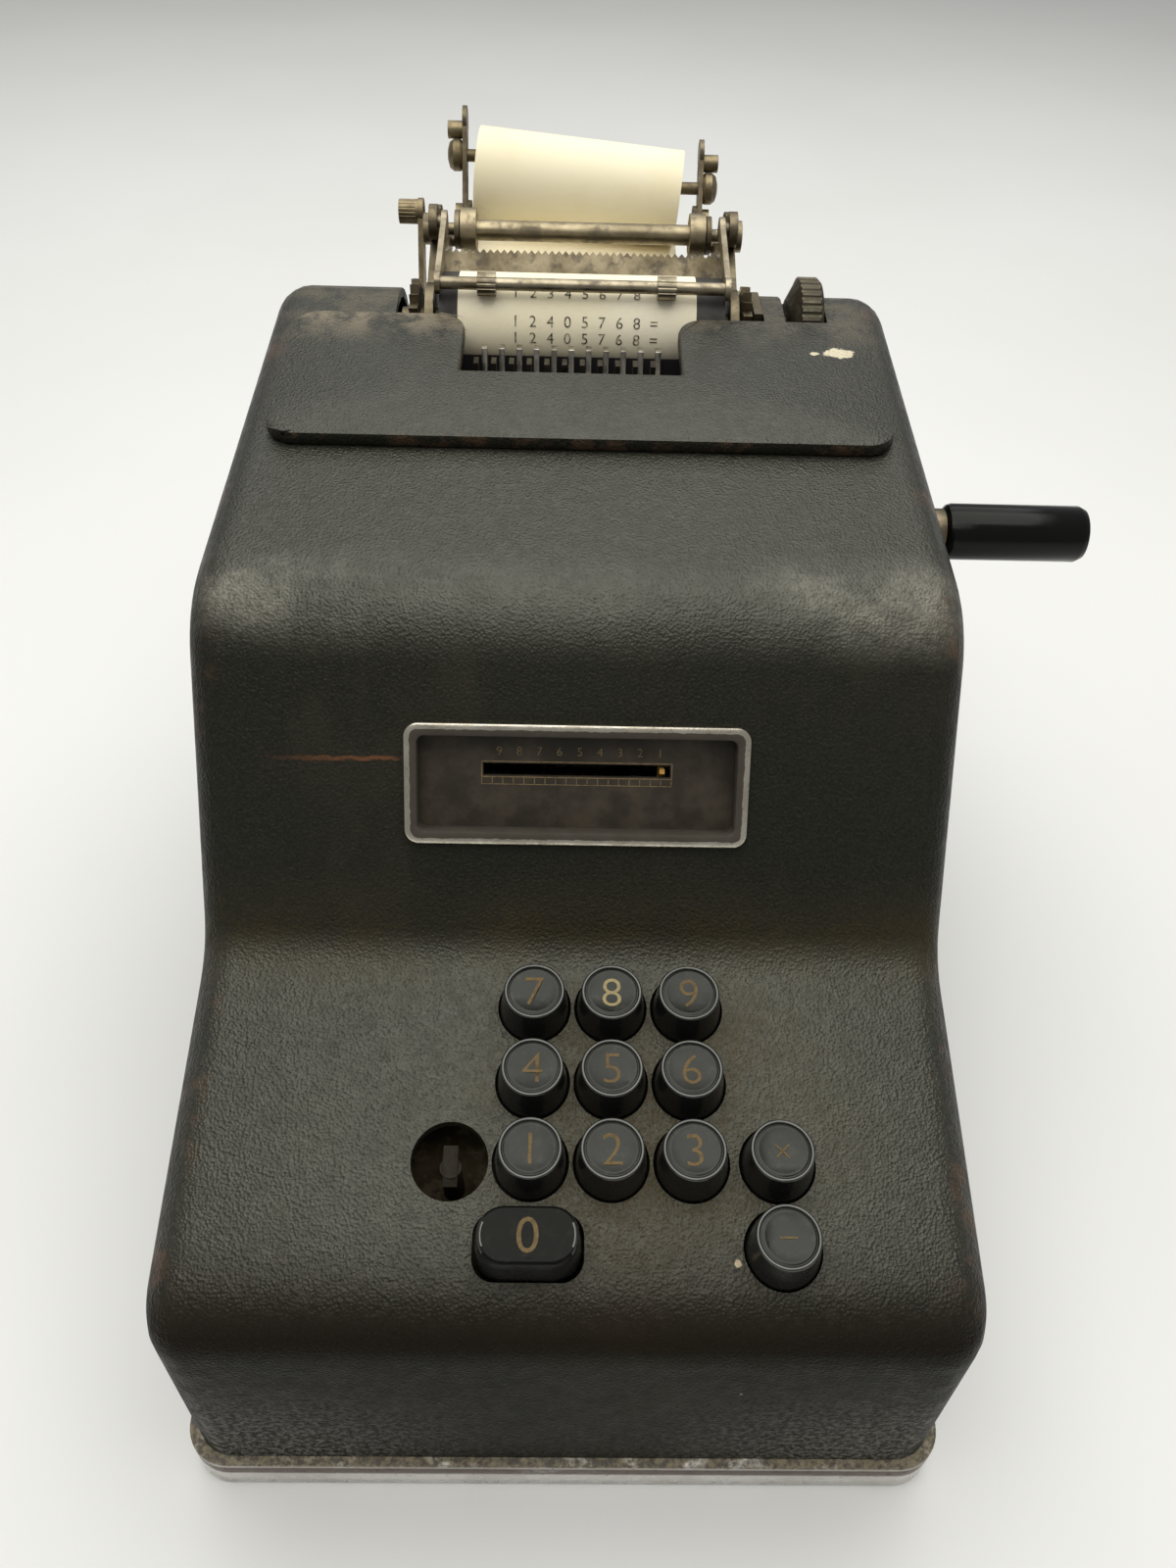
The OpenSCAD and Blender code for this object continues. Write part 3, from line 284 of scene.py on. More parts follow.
def plate_wear(s, col):
    """Tan dust by the platen, rubbed edges and one chip with a crumb beside it."""
    tan = (0.22, 0.18, 0.122)
    rubbed = (0.1, 0.06, 0.036)
    primer = (0.68, 0.6, 0.43)
    rear = s.ramp("y", 228, 249)
    left = s.ramp("x", -20, -50, 0.35, 1.0)
    col = s.stain(col, s.mul(rear, s.patches(60, 0.4, 0.6, detail=5), left), tan)
    rub = s.mul(s.fit(s.nz, 0.95, 0.75), s.patches(110, 0.48, 0.62, detail=5))
    col = s.stain(col, rub, rubbed, 0.55)
    chip = s.near((72.5, 231, 183), 2.5, 0.15, (0.6, 1.0, 0.1), (480, 4.2))
    crumb = s.near((65.3, 230.4, 183), 0.7, 0.1, (0.5, 1.0, 0.1), (900, 1.4))
    col = s.stain(col, s.largest(chip, crumb), primer)
    return col, 1.0


def key_dust(s, col):
    """Dust that lies in the valley and round the keys, and how far it dulls the paint."""
    brown = (0.08, 0.058, 0.024)
    valley = s.near((0, 87, 96), 10, 12, (0.02, 1, 1))
    keys = s.near((18, 48, 84), 38, 22, (0.9, 1, 0.5))
    lie = s.largest(s.mul(valley, 0.5), s.mul(keys, 0.75))
    lie = s.mul(lie, s.patches(28, 0.3, 0.7, 0.3, detail=5, gain=0.6), s.patches(800, 0.35, 0.65, 0.4))
    return s.stain(col, lie, brown, 0.95), s.fit(lie, 0.0, 0.6, 1.0, 0.5)


def rear_dust(s, col):
    """Tan dust on the shoulders and on the strip by the platen."""
    tan = (0.15, 0.122, 0.078)
    rear = s.mul(s.ramp("y", 215, 250), s.ramp("z", 176, 183), s.patches(90, 0.4, 0.65, detail=5))
    return s.stain(col, rear, tan, 0.45)


def brow_highlight_and_wear(s, col):
    """Painted highlight along the brow where it rounds over, in grey patches of wear, most of it at the
    ends.
    """
    # grey here is a painted highlight on the brow's rounding, laid in worn-looking patches
    grey = (0.2, 0.185, 0.15)
    brow = s.near((0, 134, 169), 10, 9, (0.02, 1, 1))
    patch = s.add(s.noise(26, 5, 0.7), s.ramp("x", 30, 70, 0.0, 0.1))
    ends = s.sideways(30, 75, 0.2, 1.0, middle=-4)
    # mask of the painted highlight: the brow's rounding, in patches towards the ends
    worn = s.mul(brow, s.fit(patch, 0.42, 0.66), ends, s.patches(600, 0.35, 0.6, 0.45))
    return s.stain(col, worn, grey, 0.8)


def rust_line(s, col):
    """Scratch with rust in it, beside the window."""
    rust = (0.15, 0.065, 0.03)
    level = world(0, 0, 135.3).z
    off = s.absolute(s.sub(s.add(s.z, s.ragged(90, 3.5)), level))
    line = s.mul(s.fit(off, 0.7 * MM, 0.2 * MM), s.ramp("x", -40.5, -44.5), s.ramp("x", -78, -50))
    return s.stain(col, s.mul(line, s.fit(s.ny, -0.3, -0.6)), rust, 0.8)


def front_shade_and_specks(s, col):
    """Painted shade: dark brown round the front edge, deepest towards it; and grey specks low on the
    front.
    """
    brown = (0.012, 0.008, 0.005)
    grey = (0.2, 0.19, 0.165)
    # painted shade where the paint rounds over towards the front edge, away from the light
    edge = s.mul(s.ramp("y", 33, 7), s.fit(s.nz, 0.15, 0.4))
    col = s.stain(col, edge, brown, 0.7)
    low = s.mul(s.fit(s.ny, -0.8, -0.95), s.ramp("z", 56, 6), s.sideways(10, 75, 0.18, 1.0))
    low = s.mul(low, s.patches(650, 0.42, 0.62))
    return s.stain(col, low, grey, 0.75)


def side_rubs(s, col):
    """Brown rubbed spots along the side edges."""
    brown = (0.085, 0.045, 0.025)
    edge = s.mul(s.sideways(80, 90), s.fit(s.nz, 0.05, 0.3))
    return s.stain(col, s.mul(edge, s.patches(75, 0.53, 0.66, detail=5)), brown, 0.6)


def specks(s, col):
    """Tiny pale specks, and one tan drop beside the lower function key."""
    pale = (0.45, 0.36, 0.23)
    spots = s.mul(s.fit(s.cells(45), 0.022, 0.014), s.patches(9, 0.52, 0.56, detail=2, gain=0.55))
    drop = s.near((36.5, 17.8, 74.4), 0.8, 0.1, (1, 1, 0.4), (900, 0.9))
    return s.stain(col, s.largest(spots, drop), pale)


# the housing's marks: dust, rust and specks, with a painted highlight on the brow and painted shade at
# the front edge
def housing_marks_and_painted_light(s, col):
    col, dulled = key_dust(s, col)
    for marks in (rear_dust, brow_highlight_and_wear, rust_line, front_shade_and_specks, side_rubs, specks):
        col = marks(s, col)
    return col, dulled


# Metals
METAL_SCALE = 90
BROWN_GRIME = (0.06, 0.045, 0.028)
DRY_DUST = (0.1, 0.075, 0.04)


def metal(name, bright, dull, rough, grime, grime_tone=BROWN_GRIME):
    """Old metal: a bright and a dull tone, with grime in patches."""
    s = Shader(name)
    col = s.mix(s.patches(METAL_SCALE, 0.35, 0.65, gain=0.6), bright, dull)
    dirt = s.mul(s.patches(METAL_SCALE * 2.3, 0.48, 0.68, detail=5), grime)
    col = s.mix(dirt, col, grime_tone)
    sheen = s.patches(METAL_SCALE * 1.7, 0.3, 0.7, *rough, gain=0.65)
    sheen = s.math("ADD", sheen, s.mul(dirt, 0.3), clamp=True)
    return s.finish(base_color=col, roughness=sheen, metallic=s.fit(dirt, 0.0, 0.6, 1.0, 0.35),
                    normal=s.bump(s.noise(1400, 2), 0.06, 0.6))


def window_inset(s):
    """Distance in from the window's outline, which has round corners, in metres."""
    mid = world(0, WIN_Y, WIN_Z)
    corner = WIN_CORNER * MM
    rise = s.mul(s.sub(s.z, mid.z), math.sin(WIN_SLOPE))
    along = s.add(s.mul(s.sub(s.y, mid.y), math.cos(WIN_SLOPE)), rise)
    across_out = s.sub(s.absolute(s.x), WIN_W * MM / 2 - corner)
    along_out = s.sub(s.absolute(along), WIN_H * MM / 2 - corner)
    outside = s.length(s.largest(across_out, 0.0), s.largest(along_out, 0.0))
    inside = s.math("MINIMUM", s.largest(across_out, along_out), 0.0)
    return s.sub(corner, s.add(outside, inside))


def bezel():
    """Bead round the window: a worn bright roll outside, a grimy lip inside."""
    bright = (0.74, 0.69, 0.58)
    dull = (0.56, 0.51, 0.41)
    rust = (0.13, 0.085, 0.045)
    grime = (0.034, 0.027, 0.02)
    s = Shader("worn_chrome")
    lip = s.fit(s.add(window_inset(s), s.ragged(420, 0.9)), 1.2 * MM, 1.6 * MM)
    col = s.mix(s.patches(150, 0.35, 0.65, gain=0.6), bright, dull)
    col = s.stain(col, s.patches(500, 0.55, 0.72, detail=5), rust, 0.4)
    col = s.stain(col, lip, grime, 0.95)
    rough = s.patches(300, 0.3, 0.7, 0.14, 0.3, detail=3, gain=0.55)
    rough = s.add(rough, s.mul(lip, 0.3))
    return s.finish(base_color=col, roughness=rough, metallic=s.fit(lip, 0.0, 1.0, 1.0, 0.0),
                    specular_ior_level=s.fit(lip, 0.0, 1.0, 0.5, 0.12),
                    normal=s.bump(s.noise(1400, 2), 0.05, 0.5))


def base_metal():
    """Polished base edge, bright below, with brown-gold dirt along the ledge."""
    bright = (0.74, 0.72, 0.69)
    dull = (0.62, 0.6, 0.56)
    gold_soil = (0.23, 0.185, 0.1)
    dark_soil = (0.05, 0.038, 0.022)
    brown = (0.075, 0.042, 0.03)
    black = (0.05, 0.038, 0.028)
    s = Shader("base_metal")
    col = s.mix(s.patches(60, 0.35, 0.65, gain=0.55), bright, dull)
    ledge = s.mul(s.ramp("z", -2.2, -0.6), s.patches(150, 0.28, 0.5, 0.35, detail=5))
    soil = s.mix(s.patches(600, 0.38, 0.62), gold_soil, dark_soil)
    col = s.stain(col, ledge, soil, 0.92)
    line = s.mul(s.ramp("z", -6.8, -5.2), s.ramp("z", -1.2, -2.8))
    col = s.stain(col, s.mul(line, s.patches(40, 0.2, 0.5, 0.45, detail=5)), brown, 0.9)
    pits = s.mul(s.patches(420, 0.6, 0.68, gain=0.75), s.ramp("z", -9, -5, 0.2, 1.0))
    col = s.stain(col, pits, black, 0.8)
    dirty = s.largest(ledge, pits)
    rough = s.patches(200, 0.3, 0.7, 0.2, 0.42, gain=0.55)
    rough = s.math("ADD", rough, s.mul(dirty, 0.4), clamp=True)
    brushed = s.noise(900, 2, 0.5, stretch=(0.03, 0.03, 1))
    return s.finish(base_color=col, roughness=rough, metallic=s.fit(dirty, 0.2, 0.9, 1.0, 0.15),
                    normal=s.bump(brushed, 0.06, 0.5))


def stem():
    """Bare key stem deep in its hole: dark with painted shade of the hole, lighter on its upper edge,
    partly painted light and partly wear.
    """
    # the stem's tones are painted shade: kept dark because it stands deep in its hole
    shaded_steel = (0.026, 0.023, 0.017)
    dirt = (0.018, 0.013, 0.007)
    worn = (0.034, 0.031, 0.024)
    s = Shader("stem_in_painted_shade")
    col = s.mix(s.patches(500, 0.4, 0.65), shaded_steel, dirt)
    # lighter on the upward faces: painted light on the top, with wear
    col = s.stain(col, s.fit(s.nz, 0.8, 0.985), worn, 0.6)
    return s.finish(base_color=col, roughness=0.7, specular_ior_level=0.08,
                    normal=s.bump(s.noise(900), 0.08, 0.6))


# Plastic, enamel and fills
def plastic(name, tone, dusty, gloss, shine):
    """Black moulded plastic, polished by fingers, dusty where it is not."""
    dust = (0.17, 0.15, 0.11)
    s = Shader(name)
    settled = s.mul(s.patches(380, 0.5, 0.75), s.fit(s.nz, 0.2, 0.95))
    col = s.stain(tone, settled, dust, dusty)
    return s.finish(base_color=col, roughness=s.patches(120, 0.3, 0.7, *gloss, gain=0.6),
                    specular_ior_level=shine, specular_tint=(0.98, 1.0, 0.93),
                    normal=s.bump(s.noise(300), 0.05, 0.5))


def enamel():
    """Window plate: dark brown enamel, mottled, with dust low down."""
    dark = (0.03, 0.025, 0.0175)
    brown = (0.066, 0.052, 0.036)
    dust = (0.2, 0.175, 0.135)
    s = Shader("window_enamel")
    col = s.mix(s.patches(90, 0.35, 0.7, detail=5, gain=0.65), dark, brown)
    low = s.mul(s.ramp("z", 119.5, 114.5), s.patches(300, 0.42, 0.62, detail=5, gain=0.75))
    col = s.stain(col, low, dust, 0.7)
    return s.finish(base_color=col, roughness=s.patches(250, 0.3, 0.7, 0.35, 0.55, gain=0.55),
                    specular_ior_level=0.25, normal=s.bump(s.noise(700), 0.1, 0.5))


def ink(name, tone, worn, under=None, rough=0.6, scale=900):
    """Fill of a mark, partly worn away to a darker tone or to what lies under it."""
    s = Shader(name)
    under = under or tuple(0.25 * part for part in tone)
    col = s.stain(tone, s.patches(scale, 0.42, 0.66), under, worn)
    return s.finish(base_color=col, roughness=rough, specular_ior_level=0.2)


# Paper, rubber, cloth and the floor
FIBRE_SCALE = 1500
ROLL_TURNS = 14000
WEAVE_TURNS = 9000


def paper_fibre(s):
    return s.noise(FIBRE_SCALE, 3, 0.6, stretch=(0.35, 1, 1))


def paper_strip():
    """Aged paper with fibres and faint stains."""
    cream = (0.98, 0.9, 0.69)
    shade = (0.94, 0.85, 0.61)
    s = Shader("paper_strip_mat")
    fibre = paper_fibre(s)
    col = s.mix(s.patches(30, 0.35, 0.7, gain=0.6), cream, shade)
    col = s.stain(col, s.fit(fibre, 0.45, 0.7), tuple(0.8 * part for part in shade), 0.18)
    return s.finish(base_color=col, roughness=0.82, normal=s.bump(fibre, 0.04, 0.5))


def paper_roll():
    """The roll: paper on the round, fine wound lines on the ends."""
    cream = (0.96, 0.88, 0.64)
    shade = (0.91, 0.8, 0.52)
    between = (0.45, 0.36, 0.2)
    mid = world(0, *ROLL_MID)
    s = Shader("roll_paper")
    col = s.mix(s.patches(26, 0.35, 0.7, gain=0.6), cream, shade)
    radius = s.length(s.sub(s.y, mid.y), s.sub(s.z, mid.z))
    lines = s.fit(s.math("SINE", s.mul(radius, ROLL_TURNS)), 0.1, 0.9)
    ends = s.fit(s.absolute(s.nx), 0.8, 0.95)
    col = s.stain(col, s.mul(ends, lines), between, 0.5)
    return s.finish(base_color=col, roughness=0.8, normal=s.bump(paper_fibre(s), 0.04, 0.4))


def rubber():
    """Platen rubber, black and dusty in patches."""
    black = (0.022, 0.019, 0.017)
    dusty = (0.05, 0.042, 0.035)
    s = Shader("platen_rubber")
    col = s.mix(s.patches(80, 0.35, 0.7, gain=0.55), black, dusty)
    rough = s.patches(200, 0.3, 0.7, 0.5, 0.75, detail=3, gain=0.55)
    return s.finish(base_color=col, roughness=rough, normal=s.bump(s.noise(700), 0.1, 0.6))


def cloth():
    """Inked ribbon with a plain weave."""
    black = (0.012, 0.01, 0.012)
    worn = (0.03, 0.024, 0.026)
    s = Shader("ribbon_cloth")
    warp = s.math("SINE", s.mul(s.x, WEAVE_TURNS))
    weft = s.math("SINE", s.mul(s.z, WEAVE_TURNS))
    weave = s.mul(warp, weft)
    col = s.mix(s.fit(weave, -0.6, 0.6), black, worn)
    return s.finish(base_color=col, roughness=0.9, normal=s.bump(weave, 0.08, 0.6))


def floor_white():
    """Pale studio floor."""
    grey = (0.8, 0.8, 0.775)
    white = (0.83, 0.83, 0.81)
    s = Shader("floor_white")
    col = s.mix(s.patches(3, 0.3, 0.7, detail=3, gain=0.55), grey, white)
    return s.finish(base_color=col, roughness=0.55, specular_ior_level=0.2)


# Finishes: metals have two tones, a roughness range and grime; plastics a tone, dust, gloss and shine
PAINT = paint("crinkle_paint", housing_marks_and_painted_light)
PLATE_PAINT = paint("plate_paint", plate_wear)
BASE_METAL = base_metal()
CHROME = bezel()
STEEL = metal("dull_steel", (0.21, 0.175, 0.115), (0.105, 0.085, 0.052), (0.36, 0.58), 0.6)
BRIGHT = metal("bright_steel", (0.5, 0.47, 0.41), (0.28, 0.26, 0.215), (0.25, 0.42), 0.4)
NICKEL = metal("aged_nickel", (0.4, 0.35, 0.25), (0.22, 0.185, 0.125), (0.28, 0.46), 0.5)
GILT = metal("browned_tube", (0.37, 0.31, 0.2), (0.21, 0.175, 0.11), (0.34, 0.52), 0.5)
BRASS = metal("tarnished_brass", (0.27, 0.218, 0.13), (0.155, 0.124, 0.073), (0.36, 0.58), 0.6)
# the comb's tones are kept dark as painted shade of the hollow behind the type bars
COMB_IN_SHADE = metal("comb_in_painted_shade", (0.09, 0.078, 0.056), (0.05, 0.043, 0.031), (0.5, 0.75), 0.5)
KNOB = metal("knurled_nickel", (0.14, 0.125, 0.09), (0.08, 0.071, 0.05), (0.4, 0.6), 0.55)
DUSTY = metal("dusty_plate", (0.075, 0.058, 0.034), (0.045, 0.035, 0.021), (0.7, 0.9), 0.8, DRY_DUST)
STEM = stem()
KEY_BLACK = plastic("key_plastic", (0.01, 0.01, 0.0095), 0.15, (0.16, 0.34), 0.35)
KEY_RIM = plastic("key_rim", (0.014, 0.014, 0.013), 0.04, (0.06, 0.14), 1.0)
KEY_TOP = plastic("key_top", (0.008, 0.008, 0.0065), 0.12, (0.14, 0.36), 0.32)
ZERO_TOP = plastic("zero_top", (0.005, 0.005, 0.0045), 0.05, (0.12, 0.22), 0.09)
GRIP_BLACK = plastic("grip_plastic", (0.004, 0.004, 0.004), 0.01, (0.14, 0.24), 0.18)
ENAMEL = enamel()
OCHRE = ink("ochre_fill", (0.15, 0.1, 0.04), 0.5)
OCHRE_BRIGHT = ink("ochre_fill_fresh", (0.33, 0.265, 0.13), 0.3)
WINDOW_INK = ink("window_fill", (0.27, 0.19, 0.095), 0.6)
POINTER = ink("pointer_fill", (0.6, 0.33, 0.08), 0.3)
PRINT = ink("print_ink", (0.045, 0.04, 0.03), 0.6, under=(0.75, 0.67, 0.47), rough=0.8, scale=520)
PAPER = paper_strip()
ROLL = paper_roll()
RUBBER = rubber()
CLOTH = cloth()

# Finish of the CAD nodes; all that are not named here are dull steel
FINISH = {
    "housing": PAINT, "deck_plate": PLATE_PAINT, "base_tray": BASE_METAL, "window_bezel": CHROME,
    "window_plate": ENAMEL, "column_pointer": POINTER, "key_bare_stem": STEM, "key_guides": DUSTY,
    "crank_grip": GRIP_BLACK, "platen": RUBBER, "feed_roller": RUBBER, "platen_knob": KNOB,
    "paper_roll": ROLL, "paper_strip": PAPER, "ribbon": CLOTH, "type_bars": BRIGHT, "bridge_comb": COMB_IN_SHADE,
    "bail": NICKEL, "bail_rollers": NICKEL, "guide_tube": GILT, "release_lever": BRASS,
    "release_knob": BRASS, "clamp_nuts": BRASS, "roll_pivots": BRASS, "register_wheels": BRASS,
}
# Width of the eased edges, in mm
EASED = {
    "base_tray": 1.0, "deck_plate": 1.2, "window_bezel": 0.6, "crank_arm": 0.3, "crank_spindle": 0.2,
    "type_bars": 0.12, "key_bare_stem": 0.15,
}
WELD = 0.004
SHARP_ANGLE = math.radians(32)
EASED_SHARP_ANGLE = math.radians(40)
EASE_SEGMENTS = 2


def dress(name):
    """Gives a CAD node its finish, smooth rounds and, where asked, eased edges."""
    ob = nodes[name]
    ob.data.materials.clear()
    ob.data.materials.append(FINISH.get(name, STEEL))
    for face in ob.data.polygons:
        face.use_smooth = True
        face.material_index = 0
    weld = ob.modifiers.new("weld", "WELD")
    weld.merge_threshold = WELD * MM
    if name in EASED:
        ease = ob.modifiers.new("ease", "BEVEL")
        ease.width = EASED[name] * MM
        ease.segments = EASE_SEGMENTS
        ease.limit_method = "ANGLE"
        ease.angle_limit = SHARP_ANGLE
        ease.use_clamp_overlap = False
    split = ob.modifiers.new("split", "EDGE_SPLIT")
    split.split_angle = EASED_SHARP_ANGLE if name in EASED else SHARP_ANGLE
    split.use_edge_sharp = False


for node_name in nodes:
    dress(node_name)


# Helpers for the pieces that Blender adds
def mesh_piece(name, verts, faces, finishes, body, bands=None):
    """A piece of its own on a body; bands gives the number of each face's finish."""
    me = bpy.data.meshes.new(name)
    me.from_pydata([tuple(v) for v in verts], [], faces)
    for finish in finishes:
        me.materials.append(finish)
    for i, face in enumerate(me.polygons):
        face.use_smooth = True
        face.material_index = bands[i] if bands else 0
    me.update()
    ob = bpy.data.objects.new(name, me)
    scene.collection.objects.link(ob)
    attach(ob, body)
    return ob


def rings(outlines):
    """A closed skin through a list of rings with the same number of points."""
    verts = [point for ring in outlines for point in ring]
    n = len(outlines[0])
    faces = [tuple(reversed(range(n)))]
    for start in range(0, len(verts) - n, n):
        for k in range(n):
            a = start + k
            b = start + (k + 1) % n
            faces.append((a, b, b + n, a + n))
    faces.append(tuple(range(len(verts) - n, len(verts))))
    return verts, faces


def flat_text(text, size, thin):
    """Vertices and faces of plain digits, centred, in mm."""
    cu = bpy.data.curves.new("digits", "FONT")
    cu.body = text
    cu.size = size
    cu.align_x = "CENTER"
    cu.align_y = "CENTER"
    cu.offset = thin
    cu.resolution_u = 4
    ob = bpy.data.objects.new("digits", cu)
    scene.collection.objects.link(ob)
    me = bpy.data.meshes.new_from_object(ob.evaluated_get(bpy.context.evaluated_depsgraph_get()))
    verts = [tuple(v.co) for v in me.vertices]
    faces = [tuple(face.vertices) for face in me.polygons]
    bpy.data.objects.remove(ob)
    bpy.data.curves.remove(cu)
    bpy.data.meshes.remove(me)
    mid_x = (min(v[0] for v in verts) + max(v[0] for v in verts)) / 2
    mid_y = (min(v[1] for v in verts) + max(v[1] for v in verts)) / 2
    return [(v[0] - mid_x, v[1] - mid_y, 0.0) for v in verts], faces


def bars(*lines):
    """Flat strokes, each from one point to another with a width, in mm."""
    verts = []
    faces = []
    for (x0, y0), (x1, y1), width in lines:
        d = Vector((x1 - x0, y1 - y0)).normalized() * width / 2
        n = len(verts)
        verts += [(x0 - d.y, y0 + d.x, 0), (x0 + d.y, y0 - d.x, 0)]
        verts += [(x1 + d.y, y1 - d.x, 0), (x1 - d.y, y1 + d.x, 0)]
        faces.append((n, n + 1, n + 2, n + 3))
    return verts, faces


# Key caps, in mm from where a key's axis meets the housing
KEYS = {
    "key_0": (0, 0), "key_1": (0, 1), "key_2": (1, 1), "key_3": (2, 1), "key_4": (0, 2),
    "key_5": (1, 2), "key_6": (2, 2), "key_7": (0, 3), "key_8": (1, 3), "key_9": (2, 3),
    "key_repeat": (3, 1), "key_subtract": (3, 0),
}
WIDE_KEY = "key_0"
FRESH_KEY = "key_8"
FUNCTION_COLUMN = 3
STEM_R = 2.5
STEM_FOOT = -46.9
SKIRT_FOOT = -5.0
SKIRT_R = 8.3
SKIRT_TOP = -0.3
SHOULDER = (8.22, 0.3)
SIDE_R = 8.15
SIDE_DRAFT = 0.92
SIDE_FOOT = 0.6
SIDE_H = 6.9
SIDE_STEPS = 4
RIM_MID = (6.68, 8.12)
RIM_R = (0.52, 0.55)
KEY_RISE = 8.7
DISH_HALF = 6.0
DISH_DEEP = 0.9
DISH_R = (DISH_HALF ** 2 + DISH_DEEP ** 2) / (2 * DISH_DEEP)
DISH_RINGS = (5.9, 5.2, 4.4, 3.4, 2.2, 1.0)
TIP_R = 0.05
ROUND_POINTS = 64
RIM_STEP = 20
ZERO_EDGE_STEP = 15
# level above which a cap is rim, and radius inside which it is dish
RIM_FROM = 8.3
DISH_FROM = 6.3
# sections of the wide cap: width, depth, corner radius and level
STEM_CORNER = 2.49
ZERO_SECTIONS = (
    (2 * STEM_R, 2 * STEM_R, STEM_CORNER, STEM_FOOT), (2 * STEM_R, 2 * STEM_R, STEM_CORNER, SKIRT_FOOT),
    (23.6, 13.5, 6.2, SKIRT_FOOT), (23.6, 13.5, 6.2, -0.2), (23.3, 13.3, 6.1, 0.4),
    (22.6, 12.9, 5.9, 4.0), (22.2, 12.7, 5.8, 7.2),
)
ZERO_EDGE = (22.0, 12.6, 5.8, 7.5)
ZERO_EDGE_H = 1.1
ZERO_EDGE_CORNER = 0.8
ZERO_TOP_SIZE = (20.0, 10.6, 5.0)
ZERO_TOP_RINGS = (0.93, 0.8, 0.6, 0.35, 0.02)
ZERO_TOP_LIMIT = 0.12
ZERO_DISH_R = 40.0
ZERO_DISH_DEEP = 0.6
ZERO_RIM_FROM = 7.6
ZERO_DISH_HALF = 10.05
CORNER_POINTS = 8
SIDE_POINTS = 6
MARK_LIFT = 0.05
CROSS_HALF = 1.5
CROSS_STROKE = 0.4
BAR_HALF = 2.0
BAR_STROKE = 0.42
DIGIT_SIZE = 10.7
DIGIT_THIN = -0.12
ZERO_SIZE = 11.0
ZERO_THIN = -0.04


def key_frame(col, row):
    """From a key's own axes, in mm, to the shared frame."""
    x = KEY_X + col * KEY_PITCH + (FUNCTION_STEP if col >= FUNCTION_COLUMN else 0)
    y = KEY_Y + row * KEY_PITCH * math.cos(KEY_SLOPE)
    z = FRONT[1] + (y - FRONT[0]) * math.tan(KEY_SLOPE)
    return leaning((x, y, z), KEY_LEAN)


def round_dish(x, y):
    """Level of a round key's hollow top."""
    return KEY_RISE - DISH_DEEP + DISH_R - math.sqrt(DISH_R ** 2 - x * x - y * y)


def zero_dish(x, y):
    """Level of the wide key's hollow top."""
    return KEY_RISE - ZERO_DISH_DEEP + ZERO_DISH_R - math.sqrt(ZERO_DISH_R ** 2 - x * x - y * y)


def round_cap():
    """A round key: stem, skirt, tapered side, rolled rim and dished top."""
    profile = [(TIP_R, STEM_FOOT), (STEM_R, STEM_FOOT), (STEM_R, SKIRT_FOOT)]
    profile += [(SKIRT_R, SKIRT_FOOT), (SKIRT_R, SKIRT_TOP), SHOULDER]
    for k in range(SIDE_STEPS + 1):
        t = k / SIDE_STEPS
        profile.append((SIDE_R - SIDE_DRAFT * t, SIDE_FOOT + SIDE_H * t))
    for degrees in range(0, 181, RIM_STEP):
        t = math.radians(degrees)
        profile.append((RIM_MID[0] + RIM_R[0] * math.cos(t), RIM_MID[1] + RIM_R[1] * math.sin(t)))
    profile += [(r, round_dish(r, 0)) for r in (*DISH_RINGS, TIP_R)]
    turn = [2 * math.pi * k / ROUND_POINTS for k in range(ROUND_POINTS)]
    return rings([[(r * math.cos(a), r * math.sin(a), z) for a in turn] for r, z in profile])


def soft_rect(width, depth, corner, z):
    """Ring of a rectangle with round corners and points along its straight sides."""
    arcs = []
    for i, (side_x, side_y) in enumerate(((1, 1), (-1, 1), (-1, -1), (1, -1))):
        mid_x = side_x * (width / 2 - corner)
        mid_y = side_y * (depth / 2 - corner)
        turn = [math.radians(90 * (i + k / (CORNER_POINTS - 1))) for k in range(CORNER_POINTS)]
        arcs.append([(mid_x + corner * math.cos(a), mid_y + corner * math.sin(a), z) for a in turn])
    points = []
    for arc, after in zip(arcs, arcs[1:] + arcs[:1]):
        points += arc
        end = Vector(arc[-1])
        start = Vector(after[0])
        points += [tuple(end.lerp(start, k / SIDE_POINTS)) for k in range(1, SIDE_POINTS)]
    return points


def zero_cap():
    """The wide key, softened all round, with a dished top."""
    outlines = [soft_rect(*section) for section in ZERO_SECTIONS]
    width, depth, corner, level = ZERO_EDGE
    for degrees in range(0, 91, ZERO_EDGE_STEP):
        t = math.radians(degrees)
        inset = 1 - math.cos(t)
        size = (width - 2 * inset, depth - 2 * inset, corner - ZERO_EDGE_CORNER * inset)
        outlines.append(soft_rect(*size, level + ZERO_EDGE_H * math.sin(t)))
    for share in ZERO_TOP_RINGS:
        ring = soft_rect(*(share * size for size in ZERO_TOP_SIZE), 0)
        outlines.append([(x, y, min(KEY_RISE - ZERO_TOP_LIMIT, zero_dish(x, y))) for x, y, _ in ring])
    return rings(outlines)


def cap_bands(verts, faces, wide):
    """Finish of each face of a cap: 0 on the sides, 1 on the polished rim, 2 in the dulled dish."""
    bands = []
    for face in faces:
        z = sum(verts[k][2] for k in face) / len(face)
        if wide:
            inside = max(abs(verts[k][0]) for k in face) < ZERO_DISH_HALF and z < KEY_RISE
            side = z < ZERO_RIM_FROM
        else:
            inside = max(math.hypot(verts[k][0], verts[k][1]) for k in face) <= DISH_FROM
            side = z < RIM_FROM and not inside
        bands.append(0 if side else 2 if inside else 1)
    return bands


